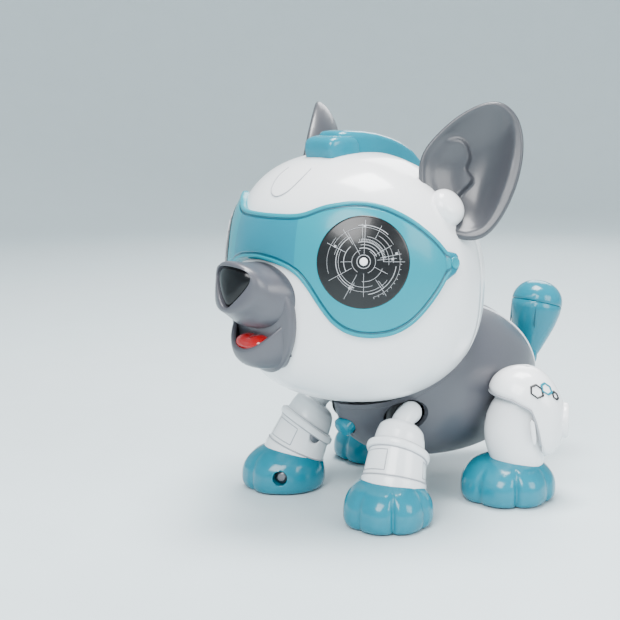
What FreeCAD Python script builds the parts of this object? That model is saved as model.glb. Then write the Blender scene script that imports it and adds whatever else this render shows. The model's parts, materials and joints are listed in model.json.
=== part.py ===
"""A sitting robot puppy toy: a round head on a neck post, an egg-shaped torso, four legs, two ears and a tail.

Frame: the floor is z = 0, the puppy looks along -Y, its left side is +X, and the origin is on the floor
under the middle of its length. Lengths are in millimetres and angles in degrees.
"""
import FreeCAD, Part
import Sketcher
import math
import os
from FreeCAD import Vector, Rotation, Placement

doc = FreeCAD.newDocument("puppy")

# ---------------------------------------------------------------- driving dimensions
DIMENSIONS = [
    # shared
    ("wall", 2.0), ("gap", 0.3), ("seat", 0.05),
    # head: flattened sphere that turns about its own vertical axis
    ("head_back", -29.0), ("head_up", 94.5), ("head_radius", 54.0), ("head_half_height", 52.0),
    ("parting_back", 24.0), ("bowl_gap", 1.0), ("head_screw_out", 26.0), ("head_screw_back", 38.0),
    ("head_screw_drop", 14.0), ("boss_radius", 4.2), ("rib_half_width", 3.0),
    # goggles and eyes
    ("goggle_rise", 2.2), ("lens_radius", 17.6), ("lens_rise", 2.6), ("lamp_depth", 9.0),
    ("lamp_radius", 12.0), ("stud_radius", 2.8), ("stud_height", 1.4),
    # muzzle
    ("snout_half_width", 19.0), ("snout_half_length", 18.5), ("snout_half_height", 15.5),
    ("jaw_half_width", 21.8), ("jaw_half_length", 19.0), ("jaw_half_height", 22.5),
    ("nose_half_width", 10.5), ("nose_half_length", 5.4), ("nose_half_height", 8.5),
    ("tongue_half_width", 8.0), ("tongue_half_length", 9.0), ("tongue_half_height", 2.4),
    ("mouth_half_width", 13.5), ("mouth_half_length", 9.0), ("mouth_half_height", 6.0),
    ("sliver_gap", 0.1),
    # crest
    ("crest_block_width", 17.0), ("crest_block_length", 18.0), ("crest_block_rise", 6.5),
    ("crest_ridge_width", 13.0), ("crest_ridge_length", 47.0), ("crest_ridge_rise", 8.0),
    ("crest_start", -20.5), ("crest_setback", 7.0), ("touch_radius", 8.0), ("touch_thick", 0.8),
    ("touch_up", 47.0),
    # ears
    ("ear_half_width", 18.6), ("ear_half_length", 28.0), ("ear_depth", 14.0), ("ear_wall", 2.4),
    ("hub_radius", 8.5), ("hub_height", 4.5), ("hub_shaft", 3.5), ("lug_thick", 2.4),
    ("lug_radius", 11.0), ("hub_flange", 6.0), ("hub_flange_thick", 1.5), ("hub_depth", 5.0),
    ("ear_turn", -28.0),
    # torso: egg with a blunt, narrow chest
    ("torso_back", 10.5), ("torso_up", 48.8), ("torso_half_width", 34.0), ("torso_half_height", 36.6),
    ("torso_front_length", 52.0), ("torso_rear_length", 65.5), ("torso_tilt", 6.4),
    ("spine_half_width", 14.0), ("spine_start", 24.0),
    # neck
    ("post_radius", 6.0), ("post_flange", 8.6), ("flange_thick", 2.0), ("post_drop", 7.0),
    ("post_root", 6.0),
    # front legs
    ("leg_cuff", 13.5), ("leg_waist", 11.9), ("leg_ring", 13.3), ("leg_top", 11.0), ("leg_length", 24.0),
    ("elbow_radius", 6.8), ("stub_radius", 5.2), ("peg_radius", 4.5), ("socket_radius", 7.3),
    ("stub_flange", 7.2), ("stub_flange_thick", 1.6), ("stub_length", 10.8), ("peg_start", 15.2),
    ("bush_thick", 2.4),
    # rear legs
    ("shin_radius", 11.6), ("shin_cuff", 12.6), ("shin_length", 38.5), ("thigh_half_width", 14.0),
    ("thigh_half_depth", 15.0), ("thigh_half_height", 21.0), ("knob_radius", 8.0), ("knob_thick", 3.2),
    ("hip_radius", 5.0), ("hip_length", 19.0), ("knob_stem", 3.8),
    # paws
    ("paw_half_width", 18.2), ("paw_half_length", 19.2), ("paw_height", 20.5), ("toe_radius", 8.0),
    # tail
    ("tail_radius", 11.5), ("tail_length", 35.0), ("tail_cap", 10.0), ("tail_peg", 3.0),
    ("tail_flange", 5.0), ("tail_flange_thick", 1.5), ("tail_hub", 6.5), ("tail_peg_start", 66.5),
    ("tail_hub_start", 76.6),
    # chest button and switch
    ("button_radius", 4.4), ("button_lip", 0.4), ("button_depth", 5.2), ("knob_length", 7.0),
    ("knob_width", 3.6), ("switch_tip", 1.6), ("case_half_width", 5.0), ("case_half_length", 6.5),
    ("case_height", 4.0),
    # electrics
    ("cell_radius", 5.25), ("cell_length", 44.5), ("cell_up", 30.5), ("tray_half_width", 16.4),
    ("tray_low", 23.0), ("tray_thick", 3.0), ("tray_margin", 1.6), ("contact_thick", 0.5),
    ("board_thick", 1.6), ("board_half_width", 15.0), ("board_half_length", 18.0),
    ("speaker_radius", 14.0), ("speaker_thick", 5.0), ("door_half_width", 13.0), ("door_length", 44.0),
    ("door_top", 24.0), ("screw_head", 2.6), ("screw_shank", 1.3), ("screw_crown", 1.8),
]
dims = doc.addObject("Spreadsheet::Sheet", "dims")
for row, (alias, number) in enumerate(DIMENSIONS, start=1):
    dims.set("A%d" % row, alias)
    dims.set("B%d" % row, str(number))
    dims.setAlias("B%d" % row, alias)
doc.recompute()


def size(rule):
    """The value of a rule such as "dims.wall * 2", read from the sheet."""
    return float(dims.evalExpression(rule))


LEFT, RIGHT = 1, -1
SIDES = {"left": LEFT, "right": RIGHT}
UP = Vector(0, 0, 1)
ACROSS = Vector(1, 0, 0)
FAR = 400.0
pieces = {}


# ---------------------------------------------------------------- helpers
def direction(azimuth, elevation):
    """Unit vector at an azimuth from the front (-Y) towards the left side (+X), and an elevation."""
    a, e = math.radians(azimuth), math.radians(elevation)
    return Vector(math.sin(a) * math.cos(e), -math.cos(a) * math.cos(e), math.sin(e))


def facing(at, axis, spin=0.0):
    """Placement at a point with local +Z turned to an axis, after a spin about local +Z."""
    return Placement(at, Rotation(UP, axis).multiply(Rotation(UP, spin)))


def made(kind, name, place=None, **rules):
    """A document object of a kind, with its sizes bound to rules on the sheet."""
    item = doc.addObject(kind, name)
    for prop, rule in rules.items():
        item.setExpression(prop, rule)
    if place is not None:
        item.Placement = place
    return item


def ellipsoid(name, half_x, half_y, half_z, place):
    item = made("Part::Ellipsoid", name, place, Radius1=half_z, Radius2=half_x, Radius3=half_y)
    item.Angle1, item.Angle2, item.Angle3 = -90, 90, 360
    return item


def cylinder(name, radius, length, at, axis=UP):
    return made("Part::Cylinder", name, facing(at, axis), Radius=radius, Height=length)


def block(name, low, high):
    """A box between two corners."""
    item = doc.addObject("Part::Box", name)
    item.Length, item.Width, item.Height = [max(b - a, 0.01) for a, b in zip(low, high)]
    item.Placement = Placement(Vector(*low), Rotation())
    return item


def fuse(name, *shapes):
    item = doc.addObject("Part::MultiFuse", name)
    item.Shapes = list(shapes)
    return item


def common(name, first, second):
    item = doc.addObject("Part::Common", name)
    item.Base, item.Tool = first, second
    return item


def cut(name, base, *tools):
    item = doc.addObject("Part::Cut", name)
    item.Base = base
    item.Tool = tools[0] if len(tools) == 1 else fuse(name + "_tools", *tools)
    return item


def mirror(name, source):
    """The same piece on the other side of the puppy's middle plane."""
    item = doc.addObject("Part::Mirroring", name)
    item.Source, item.Normal, item.Base = source, Vector(1, 0, 0), Vector(0, 0, 0)
    return item


def keep(item, name):
    """Mark an object as a finished piece: its label names its file."""
    item.Label = name
    pieces[name] = item
    return item


def keep_pair(item, name):
    """Keep a left-side piece and its mirror image; name holds {} for the side."""
    keep(item, name.format("left"))
    keep(mirror(name.format("right") + "_copy", item), name.format("right"))


def body_plane(body, role):
    return next(item for item in body.Origin.OriginFeatures if item.Role == role)


def polygon_sketch(body, name, role, corners):
    """A closed outline whose corners are pairs of rules, each bound to the sheet."""
    sketch = body.newObject("Sketcher::SketchObject", name)
    sketch.AttachmentSupport = [(body_plane(body, role), "")]
    sketch.MapMode = "FlatFace"
    points = [Vector(size(x), size(y), 0) for x, y in corners]
    count = len(points)
    for i in range(count):
        sketch.addGeometry(Part.LineSegment(points[i], points[(i + 1) % count]), False)
    for i in range(count):
        sketch.addConstraint(Sketcher.Constraint("Coincident", i, 2, (i + 1) % count, 1))
    for i, (x, y) in enumerate(corners):
        for kind, rule, value in (("DistanceX", x, points[i].x), ("DistanceY", y, points[i].y)):
            index = sketch.addConstraint(Sketcher.Constraint(kind, -1, 1, i, 1, value))
            sketch.setExpression("Constraints[%d]" % index, rule)
    return sketch


def turned(name, corners, place=None, angle=360.0):
    """A body made by turning a (radius, height) outline about its own Z axis."""
    body = doc.addObject("PartDesign::Body", name)
    sketch = polygon_sketch(body, name + "_outline", "XZ_Plane", corners)
    turn = body.newObject("PartDesign::Revolution", name + "_turn")
    turn.Profile = sketch
    turn.ReferenceAxis = (sketch, ["V_Axis"])
    turn.Angle = angle
    sketch.Visibility = False
    if place is not None:
        body.Placement = place
    return body


def padded(name, corners, thickness, place=None):
    """A body made by padding an outline in its own XY plane."""
    body = doc.addObject("PartDesign::Body", name)
    sketch = polygon_sketch(body, name + "_outline", "XY_Plane", corners)
    pad = body.newObject("PartDesign::Pad", name + "_pad")
    pad.Profile = sketch
    pad.setExpression("Length", thickness)
    if place is not None:
        body.Placement = place
    return body


def rectangle(half_x, half_y):
    return [("-(%s)" % half_x, "-(%s)" % half_y), (half_x, "-(%s)" % half_y),
            (half_x, half_y), ("-(%s)" % half_x, half_y)]


def screws(name, places, length):
    """Pan-head screws, one at each (head place, direction the head faces)."""
    solids = []
    for i, (at, axis) in enumerate(places):
        outline = [("0", "-(%s)" % length), ("dims.screw_shank", "-(%s)" % length), ("dims.screw_shank", "0"),
                   ("dims.screw_head", "0"), ("dims.screw_head", "dims.screw_crown * 0.7"),
                   ("dims.screw_head * 0.6", "dims.screw_crown"), ("0", "dims.screw_crown")]
        solids.append(turned("%s_%d" % (name, i), outline, facing(at, axis)))
    return fuse(name + "_set", *solids)


# ---------------------------------------------------------------- head
HEAD = Vector(0, size("dims.head_back"), size("dims.head_up"))
EYE = direction(51.0, 14.0)
EYE_FACE = direction(50.0, 11.0)
HUB = direction(99.5, 35.0)
NECK = direction(180.0, -75.0)
POLES_ALONG = Rotation(UP, Vector(1, 0, 0), Vector(0, 1, 0), "XYZ")


def head_surface(rise, name):
    """The head's outer ellipsoid, moved outwards by a rise. Its poles face forwards and backwards."""
    radius = "dims.head_radius + (%s)" % rise
    return ellipsoid(name, "dims.head_half_height + (%s)" % rise, radius, radius, Placement(HEAD, POLES_ALONG))


def head_radius_towards(axis):
    """Distance from the head's centre to its outer surface along an axis."""
    flat = math.hypot(axis.x, axis.y) / size("dims.head_radius")
    return 1 / math.hypot(flat, axis.z / size("dims.head_half_height"))


def head_shells():
    shell = cut("head_shell", head_surface("0", "head_outer"), head_surface("-dims.wall", "head_inner"))
    floor_hole = cylinder("head_floor_hole", "dims.post_radius + dims.seat", "30", HEAD + NECK * 40, NECK)
    hub_holes = []
    for side in SIDES.values():
        axis = Vector(HUB.x * side, HUB.y, HUB.z)
        hub_holes.append(cylinder("hub_hole", "dims.hub_shaft + dims.seat", "20", HEAD + axis * 44, axis))
    bored = cut("head_bored", shell, floor_hole, *hub_holes)
    parting = HEAD.y + size("dims.parting_back")
    front = block("head_front_space", (-FAR, -FAR, -FAR), (FAR, parting, FAR))
    keep(common("head_front", bored, front), "head_front_shell")
    backs, wells, posts = [], [], []
    for side in SIDES.values():
        seat = HEAD + Vector(side * size("dims.head_screw_out"), size("dims.head_screw_back"),
                             -size("dims.head_screw_drop"))
        backs.append((seat, Vector(0, 1, 0)))
        wells.append(cylinder("head_well", "dims.screw_head + 0.5", "20", seat, Vector(0, 1, 0)))
        wells.append(cylinder("head_bore", "dims.screw_shank + dims.seat", "20", seat, Vector(0, -1, 0)))
        posts.append(cylinder("head_boss", "dims.boss_radius", "14", seat + Vector(0, 8, 0), Vector(0, -1, 0)))
    bosses = common("head_bosses", fuse("head_boss_pair", *posts), head_surface("-0.2", "boss_limit"))
    back = fuse("head_back_mass", cut("head_back", bored, front), bosses)
    keep(cut("head_back_bored", back, *wells), "head_back_shell")
    keep(screws("head_screws", backs, "9"), "head_screws")
    rib_reach = head_surface("-dims.wall - dims.seat", "rib_reach")
    reach = size("dims.rib_half_width")
    rib = block("rib_band", (-FAR, parting - reach, -FAR), (FAR, parting + reach, FAR))
    hollow = head_surface("-dims.wall * 2.1", "rib_hollow")
    keep(cut("head_rib", common("rib_disc", rib_reach, rib), hollow), "head_joining_rib")


def goggle_outline():
    """(azimuth, elevation) of the left lobe: top edge from the nose bridge, strap tab, bottom edge back."""
    top = [(-6, 33.4), (7, 34.2), (20, 36.4), (30, 39.4), (41, 41.0), (54, 41.3), (68, 38.0), (80, 29.2),
           (86, 19.0)]
    tab = [(97.5, 16.5), (100, 10.0), (97, 4.0)]
    bottom = [(85, 3.5), (79, -5.5), (68, -14.0), (55, -18.2), (47, -17.0), (39, -11.4), (31, -3.0), (24, 6.0),
              (16, 11.2), (7, 12.6), (-6, 12.9)]
    return top, tab, bottom


def goggle_prism():
    """The left lobe's outline as a long prism along the eye's direction."""
    across = Vector(math.cos(math.radians(48)), math.sin(math.radians(48)), 0)
    upright = across.cross(direction(48.0, 8.0)) * -1
    if upright.z < 0:
        upright = upright * -1

    def flat(azimuth, elevation):
        axis = direction(azimuth, elevation)
        point = axis * head_radius_towards(axis)
        return HEAD + across * point.dot(across) + upright * point.dot(upright)

    top, tab, bottom = [[flat(*pair) for pair in stretch] for stretch in goggle_outline()]
    edges = []
    for curve in (top, bottom):
        spline = Part.BSplineCurve()
        spline.interpolate(curve)
        edges.append(spline.toShape())
    corners = [top[-1]] + tab + [bottom[0]]
    edges += [Part.LineSegment(a, b).toShape() for a, b in zip(corners, corners[1:])]
    edges.append(Part.LineSegment(bottom[-1], top[0]).toShape())
    wire = Part.Wire(Part.__sortEdges__(edges))
    prism = doc.addObject("Part::Feature", "goggle_prism")
    prism.Shape = Part.Face(wire).extrude(across.cross(upright) * -80)
    if prism.Shape.CenterOfMass.y > HEAD.y:
        prism.Shape = Part.Face(wire).extrude(across.cross(upright) * 80)
    return prism


def lens_axis(side):
    return Vector(EYE_FACE.x * side, EYE_FACE.y, EYE_FACE.z)


def lens_base(side, depth):
    """A point on a lens's own axis, a depth below the head's surface."""
    eye = Vector(EYE.x * side, EYE.y, EYE.z)
    return HEAD + eye * head_radius_towards(eye) - lens_axis(side) * depth


def goggles():
    outer = head_surface("dims.goggle_rise", "goggle_outer")
    inner = head_surface("dims.seat", "goggle_inner")
    lobe = common("goggle_lobe", goggle_prism(), outer)
    both = fuse("goggle_lobes", lobe, mirror("goggle_lobe_right", lobe))
    holes = [cylinder("lens_hole", "dims.lens_radius + dims.seat", "30", lens_base(side, 15), lens_axis(side))
             for side in SIDES.values()]
    keep(cut("goggle_frame", both, inner, *holes), "goggles")
    rise = head_surface("dims.lens_rise", "lens_outer")
    studs = []
    for word, side in SIDES.items():
        disc = cylinder("lens_disc", "dims.lens_radius", "30", lens_base(side, 15), lens_axis(side))
        proud = common("lens_dome", disc, rise)
        under = head_surface("dims.seat", "lens_under")
        keep(cut("lens_%s" % word, proud, under), "eye_lens_%s" % word)
        stud = direction(91.6 * side, 12.3)
        at = HEAD + stud * (head_radius_towards(stud) + size("dims.goggle_rise + dims.sliver_gap"))
        button = [("0", "0"), ("dims.stud_radius", "0"), ("dims.stud_radius", "dims.stud_height * 0.6"),
                  ("dims.stud_radius * 0.8", "dims.stud_height"), ("0", "dims.stud_height")]
        studs.append(turned("stud_" + word, button, facing(at, stud)))
    keep(fuse("studs", *studs), "goggle_studs")


def eye_lamps():
    """A small round lamp board behind each lens, inside the head."""
    for word, side in SIDES.items():
        inner = lens_base(side, size("dims.lamp_depth"))
        bulb, thick = "dims.lamp_radius * 0.2", "dims.board_thick * 0.75"
        outline = [("0", "0"), ("dims.lamp_radius", "0"), ("dims.lamp_radius", thick), (bulb, thick),
                   (bulb, "4"), ("0", "4")]
        keep(turned("lamp_" + word, outline, facing(inner, lens_axis(side))), "eye_lamp_board_" + word)


SNOUT = HEAD + Vector(0, -49.5, -3.0)
JAW = HEAD + Vector(0, -38.5, -12.5)
NOSE = HEAD + Vector(0, -63.5, 2.5)
MOUTH = HEAD + Vector(0, -58.5, -22.0)
TONGUE = HEAD + Vector(0, -50.5, -23.9)
BRIDGE_UP = 10.8


def muzzle():
    snout = ellipsoid("snout", "dims.snout_half_width", "dims.snout_half_length", "dims.snout_half_height",
                      Placement(SNOUT, Rotation()))
    jaw = ellipsoid("jaw", "dims.jaw_half_width", "dims.jaw_half_length", "dims.jaw_half_height",
                    Placement(JAW, Rotation()))
    mouth_rules = ("dims.mouth_half_width", "dims.mouth_half_length", "dims.mouth_half_height")
    mouth = ellipsoid("mouth", *mouth_rules, Placement(MOUTH, Rotation()))
    nose_at = Placement(NOSE, Rotation())
    nose_rules = ("dims.nose_half_width", "dims.nose_half_length", "dims.nose_half_height")
    nose = ellipsoid("nose_ball", *nose_rules, nose_at)
    nose_seat = ellipsoid("nose_seat", *[rule + " + dims.seat" for rule in nose_rules], nose_at)
    head = head_surface("dims.seat", "muzzle_back")
    visor = head_surface("dims.goggle_rise + dims.seat", "muzzle_visor")
    above = block("visor_zone", (-FAR, -FAR, HEAD.z + BRIDGE_UP), (FAR, FAR, FAR))
    brow = common("visor_skin", visor, above)
    keep(cut("muzzle_body", fuse("muzzle_mass", snout, jaw), mouth, nose_seat, head, brow), "muzzle")
    keep(nose, "nose")
    tongue_at = Placement(TONGUE, Rotation(Vector(1, 0, 0), -6))
    tongue = ellipsoid("tongue_pad", "dims.tongue_half_width", "dims.tongue_half_length",
                       "dims.tongue_half_height", tongue_at)
    space_rules = [rule + " - dims.sliver_gap" for rule in mouth_rules]
    mouth_space = ellipsoid("mouth_space", *space_rules, Placement(MOUTH, Rotation()))
    keep(common("tongue_piece", tongue, mouth_space), "tongue")


CREST_LOW = 125.0


def crest():
    front = HEAD.y + size("dims.crest_start")
    plan = [("-dims.crest_block_width / 2", "0"), ("dims.crest_block_width / 2", "0"),
            ("dims.crest_block_width / 2", "dims.crest_block_length"),
            ("-dims.crest_block_width / 2", "dims.crest_block_length")]
    block_column = padded("crest_block", plan, "40", Placement(Vector(0, front, CREST_LOW), Rotation()))
    low = head_surface("dims.crest_block_rise", "crest_low")
    step = common("crest_step", block_column, low)
    half = "dims.crest_ridge_width / 2"
    tail = [("-(%s)" % half, "0"), (half, "0"), (half, "dims.crest_ridge_length * 0.5"),
            ("2", "dims.crest_ridge_length"), ("-2", "dims.crest_ridge_length"),
            ("-(%s)" % half, "dims.crest_ridge_length * 0.5")]
    ridge_at = Vector(0, front + size("dims.crest_setback"), CREST_LOW)
    ridge_column = padded("crest_ridge", tail, "40", Placement(ridge_at, Rotation()))
    high = ellipsoid("crest_high", "dims.head_radius", "dims.head_radius - 4",
                     "dims.head_half_height + dims.crest_ridge_rise",
                     Placement(HEAD - Vector(0, 4, 0), Rotation()))
    ridge = common("crest_rise", ridge_column, high)
    keep(cut("crest_piece", fuse("crest_mass", step, ridge), head_surface("dims.seat", "crest_under")), "crest")
    sensor = [("0", "0"), ("dims.touch_radius", "0"), ("dims.touch_radius", "dims.touch_thick"),
              ("0", "dims.touch_thick")]
    keep(turned("touch_plate_disc", sensor, Placement(HEAD + UP * size("dims.touch_up"), Rotation())),
         "touch_plate")


def neck():
    """The head's post passes through the torso's collar and carries a flange under it."""
    low, ledge = "-dims.post_drop", "-dims.post_drop + dims.flange_thick"
    outline = [("0", low), ("dims.post_flange", low), ("dims.post_flange", ledge), ("dims.post_radius", ledge),
               ("dims.post_radius", "dims.post_root"), ("0", "dims.post_root")]
    skin = HEAD + NECK * head_radius_towards(NECK)
    keep(turned("post", outline, facing(skin, NECK * -1)), "neck_post")


EAR_AZIMUTH = 43.0
EAR_ROOT = Vector(45.1, -22.6, 127.7)


def ears():
    """Each ear is an open scoop on a pierced lug that turns about its hub's shaft."""
    reach = head_radius_towards(HUB)
    shaft_low, lug_low = reach - size("dims.hub_depth"), reach + size("dims.gap + dims.sliver_gap")
    shaft_top = lug_low + size("dims.lug_thick + dims.gap")
    full, flange = "%.3f" % (shaft_top - shaft_low), "dims.hub_flange_thick"
    hub_shaft = [("0", "0"), ("dims.hub_flange", "0"), ("dims.hub_flange", flange), ("dims.hub_shaft", flange),
                 ("dims.hub_shaft", full), ("0", full)]
    shaft = turned("hub_shaft_piece", hub_shaft, facing(HEAD + HUB * shaft_low, HUB))
    dome_at = facing(HEAD + HUB * (shaft_top - 0.01), HUB)
    ball = ellipsoid("hub_ball", "dims.hub_radius", "dims.hub_radius", "dims.hub_height", dome_at)
    below = made("Part::Cylinder", "hub_below", facing(HEAD + HUB * (shaft_top - 20), HUB),
                 Radius="dims.hub_radius + 5", Height="20")
    keep_pair(fuse("hub_piece", shaft, cut("hub_dome", ball, below)), "ear_hub_{}")

    across = Vector(math.cos(math.radians(EAR_AZIMUTH)), math.sin(math.radians(EAR_AZIMUTH)), 0)
    normal = direction(EAR_AZIMUTH, 10.0)
    upright = normal.cross(across)
    centre = EAR_ROOT + across * 8.2 + upright * 12.4
    frame = Rotation(across, upright, normal, "XYZ").multiply(Rotation(UP, size("dims.ear_turn")))
    place = Placement(centre, frame)
    bowl = ellipsoid("ear_bowl", "dims.ear_half_width", "dims.ear_half_length", "dims.ear_depth", place)
    scoop = ellipsoid("ear_scoop", "dims.ear_half_width - dims.ear_wall",
                      "dims.ear_half_length - dims.ear_wall", "dims.ear_depth - dims.ear_wall", place)
    open_side = made("Part::Cylinder", "ear_open_side", Placement(centre, frame), Radius="60", Height="40")
    dome_room = cylinder("dome_room", "dims.hub_radius + 0.6", "30", HEAD + HUB * (shaft_top - 0.25), HUB)
    shell = cut("ear_shell", bowl, scoop, open_side, dome_room)
    lug = cylinder("ear_lug", "dims.lug_radius", "dims.lug_thick", HEAD + HUB * lug_low, HUB)
    bore = cylinder("ear_bore", "dims.hub_shaft + dims.gap", "60", HEAD + HUB * 30, HUB)
    clear = head_surface("0.4", "ear_clearance")
    keep_pair(cut("ear_piece", fuse("ear_mass", shell, lug), bore, clear), "ear_{}")


# ---------------------------------------------------------------- torso
def torso_section(share, inset):
    """An ellipse of the egg at a share (-1 at the chest, 0 at the widest, 1 at the rump) of its length."""
    if share < 0:
        length, wide, tall = "dims.torso_front_length", 1 - share ** 2, (1 - abs(share) ** 2.5) ** 0.4
    else:
        length, wide, tall = "dims.torso_rear_length", math.sqrt(1 - share ** 2), math.sqrt(1 - share ** 2)
    along = share * (size(length) - inset)
    rise = -math.tan(math.radians(size("dims.torso_tilt"))) * along
    at = Vector(0, size("dims.torso_back") + along, size("dims.torso_up") + rise)
    ring = doc.addObject("Part::Ellipse", "torso_section")
    ring.setExpression("MajorRadius", "max((dims.torso_half_height - %g) * %.5f, 0.02)" % (inset, tall))
    ring.setExpression("MinorRadius", "max((dims.torso_half_width - %g) * %.5f, 0.01)" % (inset, wide))
    ring.Placement = Placement(at, Rotation(Vector(0, 0, -1), Vector(1, 0, 0), Vector(0, -1, 0), "XYZ"))
    return ring


def torso_egg(name, inset):
    angles = (-89.5, -82, -70, -55, -38, -20, 0, 20, 38, 55, 70, 82, 89.5)
    loft = doc.addObject("Part::Loft", name)
    loft.Sections = [torso_section(math.sin(math.radians(angle)), inset) for angle in angles]
    loft.Solid = True
    return loft


SHOULDER = Vector(20.0, -18.8, 37.4)
HIP = Vector(30.0, 32.0, 40.0)
TAIL_ROOT = Vector(0, 80.5, 47.5)
CHEST = Vector(0, -35.4, 31.6)
CHEST_AXIS = Vector(0, -0.86, -0.51)
BACK = Vector(0, 1, 0)
SPINE_LOW, SPINE_END = 50.0, 70.0
DOOR_BACK = -4.0
SWITCH_BACK, SWITCH_UP = 52.0, 21.4
BOARD = Vector(0, 34.0, 48.0)
SPEAKER = Vector(0, 42.0, 62.0)


def torso():
    outer = torso_egg("torso_outer", 0.0)
    inner = torso_egg("torso_inner", size("dims.wall"))
    shell = cut("torso_shell", outer, inner)
    bowl = head_surface("dims.bowl_gap", "head_bowl")
    collar_back = head_surface("dims.bowl_gap + dims.wall", "collar_back")
    collar_hole = cylinder("collar_hole", "dims.post_radius + dims.gap", "40", HEAD + NECK * 40, NECK)
    collar_skin = cut("collar_skin", collar_back, bowl, collar_hole)
    keep(common("collar", collar_skin, torso_egg("torso_collar_fit", 0.0)), "neck_collar")

    openings = [head_surface("dims.bowl_gap + dims.wall + dims.seat", "collar_room")]
    for side in SIDES.values():
        lateral = Vector(side, 0, 0)
        shoulder = Vector(SHOULDER.x * side, SHOULDER.y, SHOULDER.z)
        hip = Vector(HIP.x * side, HIP.y, HIP.z)
        openings.append(cylinder("shoulder_opening", "dims.socket_radius + dims.seat", "40",
                                 shoulder - lateral * 7, lateral))
        openings.append(cylinder("hip_opening", "dims.hip_radius + dims.gap", "20", hip - lateral * 8, lateral))
    openings.append(cylinder("tail_opening", "dims.tail_peg + dims.seat", "30", TAIL_ROOT - BACK * 20, BACK))
    openings.append(cylinder("button_opening", "dims.button_radius + dims.gap", "14",
                             CHEST - CHEST_AXIS * 7, CHEST_AXIS))
    half, low, high = size("dims.door_half_width"), DOOR_BACK, DOOR_BACK + size("dims.door_length")
    gap, seat, top = size("dims.gap"), size("dims.seat"), size("dims.door_top")
    openings.append(block("door_opening", (-half - gap, low - gap, 0), (half + gap, high + gap, top)))
    slot_half, slot_reach = size("dims.knob_width / 2 + 0.4"), size("dims.knob_length / 2 + 0.7")
    openings.append(block("switch_opening", (-slot_half, SWITCH_BACK - slot_reach, 0),
                          (slot_half, SWITCH_BACK + slot_reach, size("dims.cell_up"))))
    ridge, start = size("dims.spine_half_width"), size("dims.spine_start")
    openings.append(block("spine_opening", (-ridge, start - seat, SPINE_LOW), (ridge, SPINE_END, FAR)))
    open_shell = cut("torso_open", shell, *openings)
    left_space = block("torso_left_space", (0, -FAR, -FAR), (FAR, FAR, FAR))
    left = common("torso_left", open_shell, left_space)
    keep(left, "torso_left_shell")
    keep(mirror("torso_right", left), "torso_right_shell")

    strip = block("spine_strip", (seat - ridge, start, SPINE_LOW + seat), (ridge - seat, SPINE_END - seat, FAR))
    room = head_surface("dims.bowl_gap + dims.wall + dims.seat", "spine_room")
    spine = cut("spine_open", common("spine_skin", torso_shell_copy("spine"), strip), room)
    keep(spine, "spine_cover")
    door = block("door_patch", (-half, low, 0), (half, high, top))
    keep(common("door_skin", torso_shell_copy("door"), door), "battery_door")


def torso_shell_copy(name):
    return cut(name + "_shell", torso_egg(name + "_outer", 0.0), torso_egg(name + "_inner", size("dims.wall")))


def torso_insides():
    cell, length = size("dims.cell_radius"), size("dims.cell_length")
    middle = DOOR_BACK + length / 2 + 2
    half, low, margin = size("dims.tray_half_width"), size("dims.tray_low"), size("dims.tray_margin")
    tray = block("tray_outer", (-half, middle - length / 2 - margin, low),
                 (half, middle + length / 2 + margin, low + size("dims.tray_thick")))
    hollows, cells = [], []
    for i in (-1, 0, 1):
        at = Vector(i * (2 * cell + 0.2), middle - length / 2, size("dims.cell_up"))
        hollows.append(cylinder("cell_hollow", "dims.cell_radius + dims.seat",
                                "dims.cell_length + 2 * dims.seat", at - BACK * size("dims.seat"), BACK))
        cells.append(cylinder("cell", "dims.cell_radius", "dims.cell_length", at, BACK))
    keep(cut("tray", tray, *hollows), "battery_tray")
    keep(fuse("cells", *cells), "battery_cells")
    thick, reach = size("dims.contact_thick"), size("dims.board_half_width")
    foot, head = low + size("dims.tray_thick") + 0.4, size("dims.cell_up") + 3.5
    plates = [block("contact", (-reach, y, foot), (reach, y + thick, head))
              for y in (middle - length / 2 - 2 * thick, middle + length / 2 + thick)]
    keep(fuse("contacts", *plates), "battery_contacts")
    keep(padded("main_board_plate", rectangle("dims.board_half_width", "dims.board_half_length"),
                "dims.board_thick", Placement(BOARD, Rotation())), "main_board")
    can = [("0", "0"), ("dims.speaker_radius * 0.6", "0"), ("dims.speaker_radius", "dims.speaker_thick * 0.7"),
           ("dims.speaker_radius", "dims.speaker_thick"), ("0", "dims.speaker_thick")]
    keep(turned("speaker_can", can, Placement(SPEAKER, Rotation())), "speaker")
    switch = [("0", "0"), ("2.6", "0"), ("2.6", "2.2"), ("1.5", "2.2"), ("1.5", "3"), ("0", "3")]
    behind = CHEST - CHEST_AXIS * (size("dims.button_depth") + 4.5)
    keep(turned("button_switch_can", switch, facing(behind, CHEST_AXIS)), "button_switch")


def button_and_switch():
    lip, ledge = "dims.button_radius + dims.button_lip", "-dims.button_depth + 0.7"
    cap = [("0", "-dims.button_depth"), (lip, "-dims.button_depth"), (lip, ledge),
           ("dims.button_radius", ledge), ("dims.button_radius", "0.8"), ("dims.button_radius - 1", "1.8"),
           ("0", "2.2")]
    keep(turned("button_cap", cap, facing(CHEST, CHEST_AXIS)), "chest_button")
    plan = rectangle("dims.knob_width / 2 + 1", "dims.knob_length / 2 + 1")
    at = Vector(0, SWITCH_BACK, SWITCH_UP)
    base = padded("switch_plate", plan, "1", Placement(at, Rotation()))
    tip_plan = rectangle("dims.knob_width / 2", "dims.switch_tip")
    tip = padded("switch_tip", tip_plan, "6", Placement(at - UP * 5.8, Rotation()))
    keep(fuse("switch_knob", base, tip), "power_switch")
    case_plan = rectangle("dims.case_half_width", "dims.case_half_length")
    case = padded("switch_case", case_plan, "dims.case_height", Placement(at + UP * 1.3, Rotation()))
    keep(case, "switch_housing")


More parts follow.
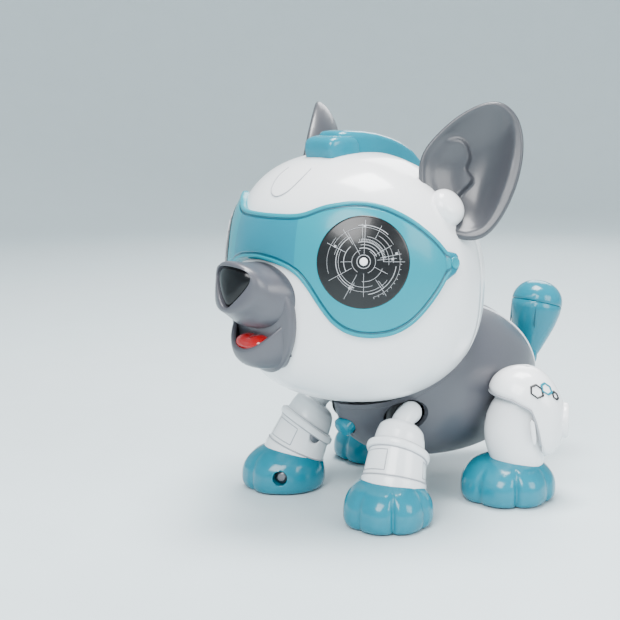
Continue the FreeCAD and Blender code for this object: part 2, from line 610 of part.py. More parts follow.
# ---------------------------------------------------------------- front legs
LEG_FOOT = Vector(31.8, -37.0, 13.0)
LEG_AXIS = Vector(-0.194, 0.375, 0.907)
LEG_AXIS.normalize()
TOES = direction(54.0, 0.0)
FRONT_PAW = Vector(32.9, -40.9, 0)
PAW_WELL = FRONT_PAW + UP * 7.5 + UP.cross(TOES) * -13.2 - TOES * 2.5
WELL_SIDE, WELL_REAR, WELL_UP = 0.76, 0.65, 9.5


def front_leg():
    top = "dims.leg_length"
    outside = [("dims.leg_cuff", "0"), ("dims.leg_cuff", "3"), ("dims.leg_cuff - 0.8", "3.4"),
               ("dims.leg_waist", "%s * 0.5" % top), ("dims.leg_ring", "%s * 0.52" % top),
               ("dims.leg_ring", "%s * 0.7" % top), ("dims.leg_top", "%s * 0.72" % top),
               ("dims.leg_top", "%s - 3" % top), ("dims.leg_top - 2.4", top)]
    inside = [("dims.stub_radius + dims.gap", top), ("dims.stub_radius + dims.gap", "%s - 2" % top),
              ("dims.leg_top - 2", "%s - 4" % top), ("dims.leg_waist - 2", "%s * 0.5" % top),
              ("dims.leg_cuff - 2", "0")]
    frame = Rotation(TOES, Vector(), LEG_AXIS, "ZXY")
    halves = {"outer": frame, "inner": frame.multiply(Rotation(UP, 180))}
    outer = turned("leg_outer_half", outside + inside, Placement(LEG_FOOT, halves["outer"]), 180)
    keep_pair(outer, "front_{}_leg_outer")
    inner = turned("leg_inner_half", outside + inside, Placement(LEG_FOOT, halves["inner"]), 180)
    outward = LEG_AXIS.cross(TOES) * -WELL_SIDE - TOES * WELL_REAR
    outward.normalize()
    well = LEG_FOOT + LEG_AXIS * WELL_UP + outward * (size("dims.leg_waist") - 1.6)
    boss = cylinder("leg_boss", "3.6", "6", well, outward * -1)
    head_room = cylinder("leg_well", "dims.screw_head + 0.2", "8", well, outward)
    bore = cylinder("leg_bore", "dims.screw_shank + dims.seat", "12", well, outward * -1)
    bossed = cut("leg_inner_bossed", fuse("leg_inner_mass", inner, boss), head_room, bore)
    keep_pair(bossed, "front_{}_leg_inner")
    pair = screws("front_leg_screws", [(well, outward), (PAW_WELL, UP.cross(TOES) * -1)], "6")
    keep_pair(pair, "front_{}_screws")
    elbow_at = LEG_FOOT + LEG_AXIS * (size(top) + size("dims.elbow_radius") - 1.0)
    knuckle = made("Part::Sphere", "knuckle", Placement(elbow_at, Rotation()), Radius="dims.elbow_radius")
    stub_at = LEG_FOOT + LEG_AXIS * size(top + " * 0.7")
    stub = cylinder("stub", "dims.stub_radius", "dims.stub_length", stub_at, LEG_AXIS)
    stub_flange = cylinder("stub_flange", "dims.stub_flange", "dims.stub_flange_thick", stub_at, LEG_AXIS)
    peg_start = Vector(size("dims.peg_start"), SHOULDER.y, SHOULDER.z)
    peg_end = Vector(elbow_at.x, SHOULDER.y, SHOULDER.z)
    peg = cylinder("peg", "dims.peg_radius", "%.3f" % (peg_end - peg_start).Length, peg_start, ACROSS)
    corner = made("Part::Sphere", "elbow_corner", Placement(peg_end, Rotation()), Radius="dims.peg_radius")
    reach = elbow_at - peg_end
    arm = cylinder("elbow_arm", "dims.peg_radius", "%.3f" % reach.Length, peg_end, reach)
    keep_pair(fuse("elbow", knuckle, stub, stub_flange, peg, corner, arm), "front_{}_elbow")
    bush = [("dims.peg_radius + dims.gap", "0"), ("dims.socket_radius", "0"),
            ("dims.socket_radius", "dims.bush_thick"), ("dims.peg_radius + dims.gap", "dims.bush_thick")]
    ring = turned("shoulder_ring", bush, facing(SHOULDER - ACROSS * 4, ACROSS))
    keep_pair(cut("bush", ring, head_surface("dims.bowl_gap + dims.wall + dims.seat", "bush_limit")),
              "shoulder_bush_{}")


# ---------------------------------------------------------------- rear legs
SHIN_FOOT = Vector(44.5, 25.0, 13.5)
SIDEWAYS = direction(140.0, 0.0)
THIGH = Vector(47.4, 28.4, 36.0)
KNOB_DROP = -2.0
KNOB_OUT = 10.6
TORSO_SIDE = size("dims.torso_half_width") + 0.4


def rear_leg():
    top = "dims.shin_length"
    outside = [("dims.shin_cuff", "0"), ("dims.shin_cuff", "2.5"), ("dims.shin_radius", "3.5"),
               ("dims.shin_radius", "%s - 10" % top), ("dims.shin_radius - 1.6", "%s - 5" % top),
               ("dims.shin_radius - 5", "%s - 1.5" % top), ("0", top)]
    inside = [("0", "%s - 2" % top), ("dims.shin_radius - 6", "%s - 3.5" % top),
              ("dims.shin_radius - 3", "%s - 8" % top), ("dims.shin_radius - 2", "0")]
    shin = turned("shin", outside + inside, Placement(SHIN_FOOT, Rotation()))
    peg_hole = cylinder("hip_peg_hole", "dims.hip_radius + dims.seat", "14", HIP, ACROSS)
    body_side = block("shin_body_side", (0, -FAR, -FAR), (TORSO_SIDE, FAR, FAR))
    keep_pair(cut("shin_bored", shin, peg_hole, body_side), "rear_{}_leg")
    frame = Rotation(Vector(0, 0, 1), math.degrees(math.atan2(SIDEWAYS.y, SIDEWAYS.x)))
    place = Placement(THIGH, frame)
    outer = ellipsoid("thigh_outer", "dims.thigh_half_width", "dims.thigh_half_depth",
                      "dims.thigh_half_height", place)
    inner = ellipsoid("thigh_inner", "dims.thigh_half_width - dims.wall", "dims.thigh_half_depth - dims.wall",
                      "dims.thigh_half_height - dims.wall", place)
    shin_room = cylinder("shin_room", "dims.shin_radius + dims.seat", "40", SHIN_FOOT - UP * 2, UP)
    window_at = Placement(THIGH, frame) * Placement(Vector(-30, -30, -45), Rotation())
    window = made("Part::Box", "thigh_window", window_at, Length="34", Width="60", Height="49")
    side_cut = block("torso_side", (0, -FAR, -FAR), (TORSO_SIDE, FAR, FAR))
    peg_room = cylinder("hip_peg_room", "dims.hip_radius + dims.seat", "14", HIP, ACROSS)
    hub = THIGH + UP * KNOB_DROP
    hub_hole = cylinder("knob_hole", "dims.knob_stem + 0.2", "40", hub, SIDEWAYS)
    knob_room = cylinder("knob_room", "dims.knob_radius + dims.seat", "20", hub + SIDEWAYS * KNOB_OUT, SIDEWAYS)
    cover = cut("thigh", outer, inner, shin_room, window, side_cut, hub_hole, knob_room, peg_room)
    keep_pair(cover, "rear_{}_thigh_cover")
    knob = [("0", "-3"), ("dims.knob_stem", "-3"), ("dims.knob_stem", "0"), ("dims.knob_radius - 0.5", "0"),
            ("dims.knob_radius", "0.8"),
            ("dims.knob_radius", "dims.knob_thick - 0.8"), ("dims.knob_radius - 0.8", "dims.knob_thick"),
            ("dims.knob_radius - 2.5", "dims.knob_thick"), ("dims.knob_radius - 2.5", "dims.knob_thick - 0.8"),
            ("0", "dims.knob_thick - 0.8")]
    keep_pair(turned("knob", knob, facing(hub + SIDEWAYS * KNOB_OUT, SIDEWAYS)), "rear_{}_knob")
    peg = [("0", "0"), ("dims.hip_radius + 2", "0"), ("dims.hip_radius + 2", "1.6"), ("dims.hip_radius", "1.6"),
           ("dims.hip_radius", "dims.hip_length"), ("0", "dims.hip_length")]
    keep_pair(turned("hip_peg", peg, facing(HIP - ACROSS * 5.5, ACROSS)), "rear_{}_hip_peg")


# ---------------------------------------------------------------- paws
REAR_PAW = Vector(40.6, 21.9, 0)


def paw(name, centre, ankle, ankle_axis, cuff, growth):
    """A domed paw with four toe lobes, cut flat underneath, with a seat for the leg's cuff."""
    turn = Rotation(UP, math.degrees(math.atan2(TOES.x, -TOES.y)))
    ground = Placement(centre, turn)
    grow = " * %g" % growth
    dome = ellipsoid(name + "_dome", "dims.paw_half_width * 0.96" + grow, "dims.paw_half_length * 0.92" + grow,
                     "dims.paw_height * 0.74" + grow, ground * Placement(Vector(0, 1.5, 6), Rotation()))
    lobes = [dome]
    for across, forward in ((-12.2, -5.5), (-5.6, -10.2), (5.6, -10.2), (12.2, -5.5)):
        at = ground * Placement(Vector(across * growth, forward * growth, 7.5), Rotation())
        lobes.append(ellipsoid(name + "_toe", "dims.toe_radius * 0.86" + grow, "dims.toe_radius * 1.15" + grow,
                               "dims.toe_radius * 1.2" + grow, at))
    floor = block(name + "_floor", (-FAR, -FAR, -FAR), (FAR, FAR, 0))
    seat = cylinder(name + "_seat", cuff, "30", ankle, ankle_axis)
    return cut(name, fuse(name + "_mass", *lobes), floor, seat)


def paws():
    front = paw("front_paw", FRONT_PAW, LEG_FOOT, LEG_AXIS, "dims.leg_cuff + dims.seat", 1.0)
    inward = UP.cross(TOES) * -1
    head_room = cylinder("paw_well", "dims.screw_head + 0.6", "20", PAW_WELL, inward)
    bore = cylinder("paw_bore", "dims.screw_shank + dims.seat", "8", PAW_WELL, inward * -1)
    keep_pair(cut("front_paw_bored", front, head_room, bore), "front_{}_paw")
    ankle = SHIN_FOOT - UP * size("dims.gap")
    rear = paw("rear_paw", REAR_PAW, ankle, UP, "dims.shin_cuff + dims.gap", 1.06)
    keep_pair(rear, "rear_{}_paw")


# ---------------------------------------------------------------- tail
TAIL_LEAN = Vector(0, 0.27, 1)
TAIL_LEAN.normalize()


def tail():
    """A fat leaning stalk with a domed cap, on a flanged peg that turns in the rump's wall."""
    base = "(dims.tail_length - dims.tail_cap)"
    stalk = [("0", "0"), ("dims.tail_hub * 0.65", "0"), ("dims.tail_hub", "5"),
             ("dims.tail_radius * 0.8", "11"), ("dims.tail_radius", base + " - 6"), ("dims.tail_radius", base),
             ("0", base)]
    flange_end, hub_start = "dims.tail_flange_thick", "(dims.tail_hub_start - dims.tail_peg_start)"
    pivot = [("0", "0"), ("dims.tail_flange", "0"), ("dims.tail_flange", flange_end),
             ("dims.tail_peg", flange_end), ("dims.tail_peg", hub_start), ("dims.tail_hub * 0.8", hub_start),
             ("dims.tail_hub", hub_start + " + 1.5"), ("dims.tail_hub * 0.9", hub_start + " + 5"),
             ("0", hub_start + " + 7")]
    pivot_at = Vector(0, size("dims.tail_peg_start"), TAIL_ROOT.z)
    peg = turned("tail_pivot", pivot, facing(pivot_at, BACK))
    keep(fuse("tail_piece", peg, turned("tail_stalk", stalk, facing(TAIL_ROOT, TAIL_LEAN))), "tail_body")
    cap_at = TAIL_ROOT + TAIL_LEAN * size(base + " + dims.seat")
    cap = ellipsoid("tail_dome", "dims.tail_radius", "dims.tail_radius", "dims.tail_cap",
                    facing(cap_at, TAIL_LEAN))
    below = cylinder("tail_below", "30", "30", cap_at - TAIL_LEAN * 30, TAIL_LEAN)
    keep(cut("tail_tip", cap, below), "tail_cap")


# ---------------------------------------------------------------- build and write
head_shells()
goggles()
eye_lamps()
muzzle()
crest()
neck()
ears()
torso()
torso_insides()
button_and_switch()
front_leg()
rear_leg()
paws()
tail()
doc.recompute()

faults = [item.Name for item in doc.Objects if "Invalid" in item.State or "Error" in item.State]
for name, item in pieces.items():
    if item.Shape.isNull() or not item.Shape.isValid() or not item.Shape.Solids:
        faults.append(name)
if faults:
    raise RuntimeError("these pieces failed: " + ", ".join(faults))

os.makedirs("parts", exist_ok=True)
for name, item in pieces.items():
    item.Shape.exportStep("parts/%s.step" % name)
print("wrote %d pieces" % len(pieces))
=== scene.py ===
import json
import math
import bpy
import bmesh
from mathutils import Vector, Matrix


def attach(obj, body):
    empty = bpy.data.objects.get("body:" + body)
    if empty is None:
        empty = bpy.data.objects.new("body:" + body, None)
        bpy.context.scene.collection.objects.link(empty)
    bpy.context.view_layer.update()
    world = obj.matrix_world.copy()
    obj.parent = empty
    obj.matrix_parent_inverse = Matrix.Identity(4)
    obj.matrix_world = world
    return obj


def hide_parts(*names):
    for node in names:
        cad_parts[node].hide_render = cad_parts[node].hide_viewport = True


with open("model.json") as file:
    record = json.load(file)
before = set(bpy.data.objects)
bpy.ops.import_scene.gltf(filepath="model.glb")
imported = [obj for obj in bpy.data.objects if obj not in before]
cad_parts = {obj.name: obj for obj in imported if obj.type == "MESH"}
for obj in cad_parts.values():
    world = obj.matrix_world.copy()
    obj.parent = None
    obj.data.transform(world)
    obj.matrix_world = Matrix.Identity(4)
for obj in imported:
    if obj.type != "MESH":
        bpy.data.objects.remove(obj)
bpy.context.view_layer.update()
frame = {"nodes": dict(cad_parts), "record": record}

# The robot puppy toy. Lengths are in millimetres in the row frame and become metres in add_mesh.
# The puppy looks along -Y, its left side is +X, and the floor is z = 0.

MM = 0.001
UP = Vector((0, 0, 1))
SIDES = {"left": 1, "right": -1}


# ---- small helpers
def direction(azimuth, elevation):
    """Unit vector at an azimuth from the front (-Y) towards the left side (+X), and an elevation."""
    a, e = math.radians(azimuth), math.radians(elevation)
    return Vector((math.sin(a) * math.cos(e), -math.cos(a) * math.cos(e), math.sin(e)))


def smooth(t):
    """A soft step from 0 to 1."""
    t = min(max(t, 0.0), 1.0)
    return t * t * (3 - 2 * t)


def mix(a, b, t):
    return a + (b - a) * t


def mirrored(point, side):
    """The point itself on the left side, its mirror image on the right."""
    return Vector((point[0] * side, point[1], point[2]))


def turns(count):
    """Even angles round a full turn, in radians."""
    return [2 * math.pi * j / count for j in range(count)]


def circle(radius, height, count=72):
    """Points round a circle about local Z."""
    return [Vector((radius * math.cos(a), radius * math.sin(a), height)) for a in turns(count)]


def powered(value, power):
    """A power of a number's size, with the number's own sign."""
    return math.copysign(abs(value) ** power, value)


def table(pairs, x):
    """The value at x on straight lines through (x, value) pairs in rising x."""
    if x <= pairs[0][0]:
        return pairs[0][1]
    for (x0, v0), (x1, v1) in zip(pairs, pairs[1:]):
        if x <= x1:
            return mix(v0, v1, (x - x0) / (x1 - x0))
    return pairs[-1][1]


def curve_through(points, steps, closed=False):
    """Points along a Catmull-Rom curve through the given points."""
    points = [Vector(p) for p in points]
    points = [points[-1], *points, *points[:2]] if closed else [points[0], *points, points[-1]]
    result = []
    for p0, p1, p2, p3 in zip(points, points[1:], points[2:], points[3:]):
        for j in range(steps):
            t = j / steps
            result.append(0.5 * ((2 * p1) + (p2 - p0) * t + (2 * p0 - 5 * p1 + 4 * p2 - p3) * t * t
                                 + (3 * p1 - p0 - 3 * p2 + p3) * t ** 3))
    if not closed:
        result.append(points[-1])
    return result


def rounded(profile, radius, steps=4):
    """A (radius, height) outline with each inner corner rounded."""
    points = [Vector((p[0], p[1], 0)) for p in profile]
    result = [points[0]]
    for before, corner, after in zip(points, points[1:], points[2:]):
        reach_in = min(radius, (corner - before).length * 0.48)
        reach_out = min(radius, (after - corner).length * 0.48)
        a = corner + (before - corner).normalized() * reach_in
        b = corner + (after - corner).normalized() * reach_out
        for j in range(steps + 1):
            t = j / steps
            result.append(a * (1 - t) ** 2 + corner * 2 * t * (1 - t) + b * t * t)
    result.append(points[-1])
    return [(p.x, p.y) for p in result]


def axes(at, axis, towards=None):
    """A matrix whose local +Z is an axis and whose local +X leans towards a direction."""
    z = Vector(axis).normalized()
    hint = Vector(towards) if towards is not None else Vector((1, 0, 0))
    if abs(z.dot(hint.normalized())) > 0.98:
        hint = Vector((0, 1, 0))
    x = (hint - z * hint.dot(z)).normalized()
    y = z.cross(x)
    turned = Matrix((x, y, z)).transposed().to_4x4()
    turned.translation = Vector(at)
    return turned


def add_mesh(name, shape, body, material, place=None, side=1, replaces=(), smooth_faces=True,
             extras=(), tints=()):
    """A shown piece. place maps its own millimetres to the row frame, and side -1 mirrors it.

    extras are further materials, and tints gives the first faces their material numbers.
    """
    points, faces = shape
    place = place or Matrix.Identity(4)
    mesh = bpy.data.meshes.new(name)
    world = [mirrored(place @ Vector(p), side) * MM for p in points]
    mesh.from_pydata(world, [], [list(reversed(f)) if side < 0 else list(f) for f in faces])
    for face, tint in zip(mesh.polygons, tints):
        face.material_index = tint
    work = bmesh.new()
    work.from_mesh(mesh)
    bmesh.ops.remove_doubles(work, verts=work.verts, dist=1e-7)
    bmesh.ops.dissolve_degenerate(work, edges=work.edges, dist=1e-7)
    bmesh.ops.recalc_face_normals(work, faces=work.faces)
    for face in work.faces:
        face.smooth = smooth_faces
    work.to_mesh(mesh)
    work.free()
    piece = bpy.data.objects.new(name, mesh)
    bpy.context.scene.collection.objects.link(piece)
    for finish in (material, *extras):
        mesh.materials.append(finish)
    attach(piece, body)
    if replaces:
        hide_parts(*replaces)
    return piece


def loft(rings, closed=False):
    """(points, faces) of a tube through equal rings; open ends are closed with a fan to a middle point."""
    count = len(rings[0])
    points = [p for ring in rings for p in ring]
    faces = []
    last = len(rings) if closed else len(rings) - 1
    for i in range(last):
        a, b = i * count, ((i + 1) % len(rings)) * count
        for j in range(count):
            k = (j + 1) % count
            faces.append((a + j, a + k, b + k, b + j))
    if not closed:
        for index, flip in ((0, True), (len(rings) - 1, False)):
            ring = rings[index]
            middle = sum((Vector(p) for p in ring), Vector()) / count
            points.append(middle)
            m, a = len(points) - 1, index * count
            for j in range(count):
                k = (j + 1) % count
                faces.append((m, a + k, a + j) if flip else (m, a + j, a + k))
    return points, faces


def slab(pairs, wrap=False):
    """(points, faces) of a closed sheet from rows of (outer point, inner point) pairs."""
    rows, cols = len(pairs), len(pairs[0])
    points = [pair[layer] for layer in (0, 1) for row in pairs for pair in row]
    shift = rows * cols
    faces = []
    spans = cols if wrap else cols - 1
    for i in range(rows - 1):
        for j in range(spans):
            k = (j + 1) % cols
            a, b, c, d = i * cols + j, i * cols + k, (i + 1) * cols + k, (i + 1) * cols + j
            faces.append((a, b, c, d))
            faces.append((a + shift, d + shift, c + shift, b + shift))
    last, right = (rows - 1) * cols, cols - 1
    edges = []
    for j in range(spans):
        k = (j + 1) % cols
        edges += [(k, j), (last + j, last + k)]
    if not wrap:
        for a in range(0, last, cols):
            edges += [(a, a + cols), (a + cols + right, a + right)]
    faces += [(a, b, b + shift, a + shift) for a, b in edges]
    return points, faces


def lathe(profile, segments=72):
    """(points, faces) of a (radius, height) outline turned about local Z."""
    return loft([circle(max(radius, 0.002), height, segments) for radius, height in profile])


def joined(shapes):
    """(points, faces) of several shapes as one."""
    points, faces = [], []
    for more_points, more_faces in shapes:
        shift = len(points)
        points += more_points
        faces += [tuple(index + shift for index in face) for face in more_faces]
    return points, faces


def changed(shape, change):
    """(points, faces) with every point moved by a function."""
    points, faces = shape
    return [change(point) for point in points], faces


def along_sides(corners, steps):
    """Places along the straight sides of a closed outline, ending where it began."""
    places = []
    for (a0, b0), (a1, b1) in zip(corners, corners[1:] + corners[:1]):
        places += [(mix(a0, a1, k / steps), mix(b0, b1, k / steps)) for k in range(steps)]
    return places + places[:1]


def tube(path, radii, segments=20, flat=1.0, up=UP):
    """(points, faces) of a round or flattened tube along a path."""
    rings = []
    for i, point in enumerate(path):
        before, after = path[max(i - 1, 0)], path[min(i + 1, len(path) - 1)]
        along = (after - before).normalized()
        side = along.cross(up)
        side = side.normalized() if side.length > 1e-6 else Vector((1, 0, 0))
        top = side.cross(along).normalized()
        radius = radii if isinstance(radii, (int, float)) else radii[i]
        rings.append([point + side * (radius * math.cos(a)) + top * (radius * flat * math.sin(a))
                      for a in turns(segments)])
    return loft(rings)


def star(points, centre, around=72):
    """Distances from a centre to a closed smooth curve through (x, z) points, at even angles from +X."""
    marks = []
    for point in curve_through([(x, z, 0) for x, z in points], 12, closed=True):
        spoke = Vector((point.x - centre[0], point.y - centre[1]))
        marks.append((math.atan2(spoke.y, spoke.x) % (2 * math.pi), spoke.length))
    marks.sort()
    marks = [(marks[-1][0] - 2 * math.pi, marks[-1][1])] + marks + [(marks[0][0] + 2 * math.pi, marks[0][1])]
    return [table(marks, a) for a in turns(around)]


def bore(piece, at, axis, radius, depth, well_shade):
    """Cuts a round well into a closed piece, from outside a point inwards along an axis; its walls take a
    dark colour, painted shade in the well.
    """
    outside = 6.0
    points, faces = lathe([(0.01, -depth), (radius, -depth), (radius, outside), (0.01, outside)], 32)
    place = axes(at, axis)
    mesh = bpy.data.meshes.new("cutter")
    mesh.from_pydata([(place @ p) * MM for p in points], [], faces)
    mesh.materials.append(well_shade)
    cutter = bpy.data.objects.new("cutter", mesh)
    bpy.context.scene.collection.objects.link(cutter)
    piece.data.materials.append(well_shade)
    cut = piece.modifiers.new("well", "BOOLEAN")
    cut.operation = "DIFFERENCE"
    cut.solver = "EXACT"
    cut.object = cutter
    cut.material_mode = "TRANSFER"
    graph = bpy.context.evaluated_depsgraph_get()
    solid = bpy.data.meshes.new_from_object(piece.evaluated_get(graph))
    piece.modifiers.clear()
    piece.data = solid
    bpy.data.objects.remove(cutter)


# ---- materials
def plastic(name, colour, roughness=0.2, coat=0.35, variation=0.03, grain=0.00001, scale=260.0, shine=0.5):
    """Moulded plastic: a slightly uneven colour and gloss, and a very fine surface."""
    material = bpy.data.materials.new(name)
    material.use_nodes = True
    nodes, links = material.node_tree.nodes, material.node_tree.links
    shader = nodes["Principled BSDF"]
    place = nodes.new("ShaderNodeTexCoord")
    cloud = nodes.new("ShaderNodeTexNoise")
    cloud.inputs["Scale"].default_value = 38.0
    cloud.inputs["Detail"].default_value = 3.0
    links.new(place.outputs["Object"], cloud.inputs["Vector"])
    ramp = nodes.new("ShaderNodeValToRGB")
    for element, factor, at in zip(ramp.color_ramp.elements, (1 - variation, 1 + variation), (0.3, 0.7)):
        element.position = at
        element.color = [min(c * factor, 1.0) for c in colour] + [1.0]
    links.new(cloud.outputs["Fac"], ramp.inputs["Fac"])
    links.new(ramp.outputs["Color"], shader.inputs["Base Color"])
    gloss = nodes.new("ShaderNodeMapRange")
    gloss.inputs["To Min"].default_value = roughness * 0.85
    gloss.inputs["To Max"].default_value = roughness * 1.15
    links.new(cloud.outputs["Fac"], gloss.inputs["Value"])
    links.new(gloss.outputs["Result"], shader.inputs["Roughness"])
    fine = nodes.new("ShaderNodeTexNoise")
    fine.inputs["Scale"].default_value = scale
    fine.inputs["Detail"].default_value = 2.0
    links.new(place.outputs["Object"], fine.inputs["Vector"])
    bump = nodes.new("ShaderNodeBump")
    bump.inputs["Strength"].default_value = 0.35
    bump.inputs["Distance"].default_value = grain
    links.new(fine.outputs["Fac"], bump.inputs["Height"])
    links.new(bump.outputs["Normal"], shader.inputs["Normal"])
    shader.inputs["Specular IOR Level"].default_value = shine
    shader.inputs["Coat Weight"].default_value = coat
    shader.inputs["Coat Roughness"].default_value = 0.06
    return material


def metal(name, colour, roughness=0.3):
    material = plastic(name, colour, roughness, coat=0.0, variation=0.06, grain=0.00003, scale=900.0)
    material.node_tree.nodes["Principled BSDF"].inputs["Metallic"].default_value = 1.0
    return material


WHITE = plastic("white_plastic", (0.88, 0.885, 0.90), 0.22)
# painted shade: this gray stands in for the shade in the seams, panel lines and grooves of the white parts
SEAM_SHADE = plastic("white_groove_shade", (0.36, 0.37, 0.40), 0.35, coat=0.0)
TEAL = plastic("teal_plastic", (0.0, 0.19, 0.27), 0.20, coat=0.2, shine=0.35)
TEAL_LIGHT = plastic("teal_plate", (0.0, 0.25, 0.32), 0.24, coat=0.08, shine=0.25)
# painted shade: the darker teal of the visor groove, the tail's grooves and the paw's screw well
TEAL_SHADE = plastic("teal_groove_shade", (0.0, 0.10, 0.15), 0.3, coat=0.1)
GRAY = plastic("gray_plastic", (0.080, 0.080, 0.095), 0.36, coat=0.12)
GRAY_LIGHT = plastic("gray_trim", (0.11, 0.11, 0.125), 0.3)
# painted shade: the jaw's inside, the same gray plastic painted darker
GRAY_SHADE = plastic("gray_mouth_shade", (0.028, 0.028, 0.034), 0.4, coat=0.1)
EAR_GRAY = plastic("ear_plastic", (0.052, 0.054, 0.063), 0.34, coat=0.15)
BLACK = plastic("black_plastic", (0.003, 0.003, 0.004), 0.22, coat=0.12, shine=0.3)
LENS = plastic("lens_plastic", (0.008, 0.008, 0.009), 0.26, coat=0.12, shine=0.35)
PRINT = plastic("pale_print", (0.42, 0.43, 0.45), 0.4, coat=0.0)
GLOW = plastic("bright_print", (0.95, 0.95, 0.95), 0.4, coat=0.0)
INK = plastic("dark_print", (0.008, 0.008, 0.01), 0.4, coat=0.0)
RED = plastic("red_plastic", (0.36, 0.002, 0.004), 0.18, coat=0.4)
# the own colour of the CAD's dark inner parts, and painted shade in the sleeve's screw well
DARK_AND_WELL_SHADE = plastic("dark_inner_plastic_and_well_shade", (0.02, 0.02, 0.022), 0.45, coat=0.0)
BOARD = plastic("board_lacquer", (0.02, 0.13, 0.05), 0.35)
STEEL = metal("zinc_steel", (0.22, 0.22, 0.24), 0.4)
CELL = metal("cell_wrap_metal", (0.10, 0.10, 0.11))

CAD_LOOK = {"white_shell": WHITE, "white_trim": WHITE, "teal_shell": TEAL, "teal_visor": TEAL,
            "gray_shell": GRAY, "gray_ear": EAR_GRAY, "black_gloss": BLACK, "lens": LENS, "tongue_red": RED,
            "steel": STEEL, "dark_inner": DARK_AND_WELL_SHADE, "board": BOARD, "cell_wrap": CELL}


def dress_cad_nodes():
    """Every CAD node takes the procedural finish of its own material slot."""
    for entry in frame["record"]["subparts"]:
        node = frame["nodes"][entry["node"]]
        node.data.materials.clear()
        node.data.materials.append(CAD_LOOK[entry["material_slot"]])


# ---- the head's surface
HEAD = Vector((0, -29, 94.5))
HALF_WIDTH, HALF_FRONT, HALF_BACK, HALF_UP, HALF_DOWN = 54, 50, 52, 52, 49.5
MEAN_RADIUS = 53.0
PARTING, PARTING_GAP = -5, 0.2
SUNK = -0.8


def head_radius(ray):
    """Distance from the head's centre to its skin: squarer in side view at the front than at the back."""
    front = smooth((0.35 - ray.y) / 0.7)
    flat = math.hypot(ray.x / HALF_WIDTH, ray.y / mix(HALF_BACK, HALF_FRONT, front))
    if ray.z > 0:
        power, rise = 2.0 + 0.65 * front, ray.z / HALF_UP
    else:
        power, rise = 2.5 + 0.3 * front, -ray.z / HALF_DOWN
    return (flat ** power + rise ** power) ** (-1 / power)


def on_head(azimuth, elevation, rise=0):
    """A point over the head's skin."""
    ray = direction(azimuth, elevation)
    return HEAD + ray * (head_radius(ray) + rise)


def head_ray(turn, spin):
    """Unit vector at a turn from the front (-Y), spun about Y."""
    return Vector((math.sin(turn) * math.cos(spin), -math.cos(turn), math.sin(turn) * math.sin(spin)))


def head_shell(name, front, node):
    """The front or back half of the head, closed at the parting with a small shadow gap."""
    steps, around, pole, inset = 34, 96, 0.004, 0.992
    facing = -1 if front else 1
    goal = PARTING + facing * PARTING_GAP - HEAD.y
    rings = []
    for i in range(steps + 1):
        ring = []
        for spin in turns(around):
            turn_end = math.acos((HEAD.y - PARTING) / MEAN_RADIUS)
            for attempt in range(4):
                turn_end = math.acos(-goal / head_radius(head_ray(turn_end, spin)))
            turn = mix(0.0 if front else math.pi, turn_end, i / steps)
            ray = head_ray(min(max(turn, pole), math.pi - pole), spin)
            ring.append(HEAD + ray * head_radius(ray))
        rings.append(ring)
    edge_y = rings[-1][0].y - facing * 0.15
    rings.append([Vector((p.x * inset, edge_y, HEAD.z + (p.z - HEAD.z) * inset)) for p in rings[-1]])
    add_mesh(name, loft(rings), "head", WHITE, replaces=(node,))


# ---- goggles: edges as (azimuth, elevation), the rim's section as (distance from the edge, height)
VISOR_TOP = [(0, 32.2), (16, 32.3), (22.6, 32.8), (33, 36.3), (45.5, 37.8), (54, 37.2), (62.4, 34.9),
             (71.8, 30.1), (78, 25.6), (84, 20.6), (87.5, 16.6), (89.5, 12.6)]
VISOR_BOTTOM = [(0, 12.7), (6, 12.2), (11.9, 11.5), (19.9, 9), (25.4, 4.7), (30.5, -2.5), (35.3, -9.1),
                (40, -13.4), (46.1, -16.1), (53.7, -16.9), (62.7, -15.8), (70.3, -12.3), (76.5, -6.8),
                (81.5, -1.2), (85.1, 3.2), (87.8, 7.4), (89.5, 11)]
VISOR_END = 89.0
VISOR_STOPS = [0, 0.15, 0.3, 0.5, 0.8, 1.3, 1.7, 1.85, 2, 2.2, 2.4, 2.55, 2.7, 3.1, 3.8]
VISOR_HEIGHTS = [(0, 0.2), (0.3, 1.9), (0.8, 2.6), (1.7, 2.6), (1.95, 1.7), (2.45, 1.7), (2.7, 2.2),
                 (3.8, 2.3)]
GROOVE_STOPS = range(7, 12)
BRIDGE_HALF = 20.5
MM_PER_RADIAN = 52.0


def visor_limit(pairs, azimuth):
    """The visor's edge at an azimuth, smoothed a little over its corner points."""
    offsets = (-3, -1.5, 0, 1.5, 3)
    return sum(table(pairs, abs(azimuth + d)) for d in offsets) / len(offsets)


def visor_slant(pairs, azimuth):
    """How much longer a way across the edge is along a meridian than square to the edge."""
    slope = (visor_limit(pairs, azimuth + 1) - visor_limit(pairs, azimuth - 1)) / 2.0
    return min(math.hypot(1, slope), 2.2)


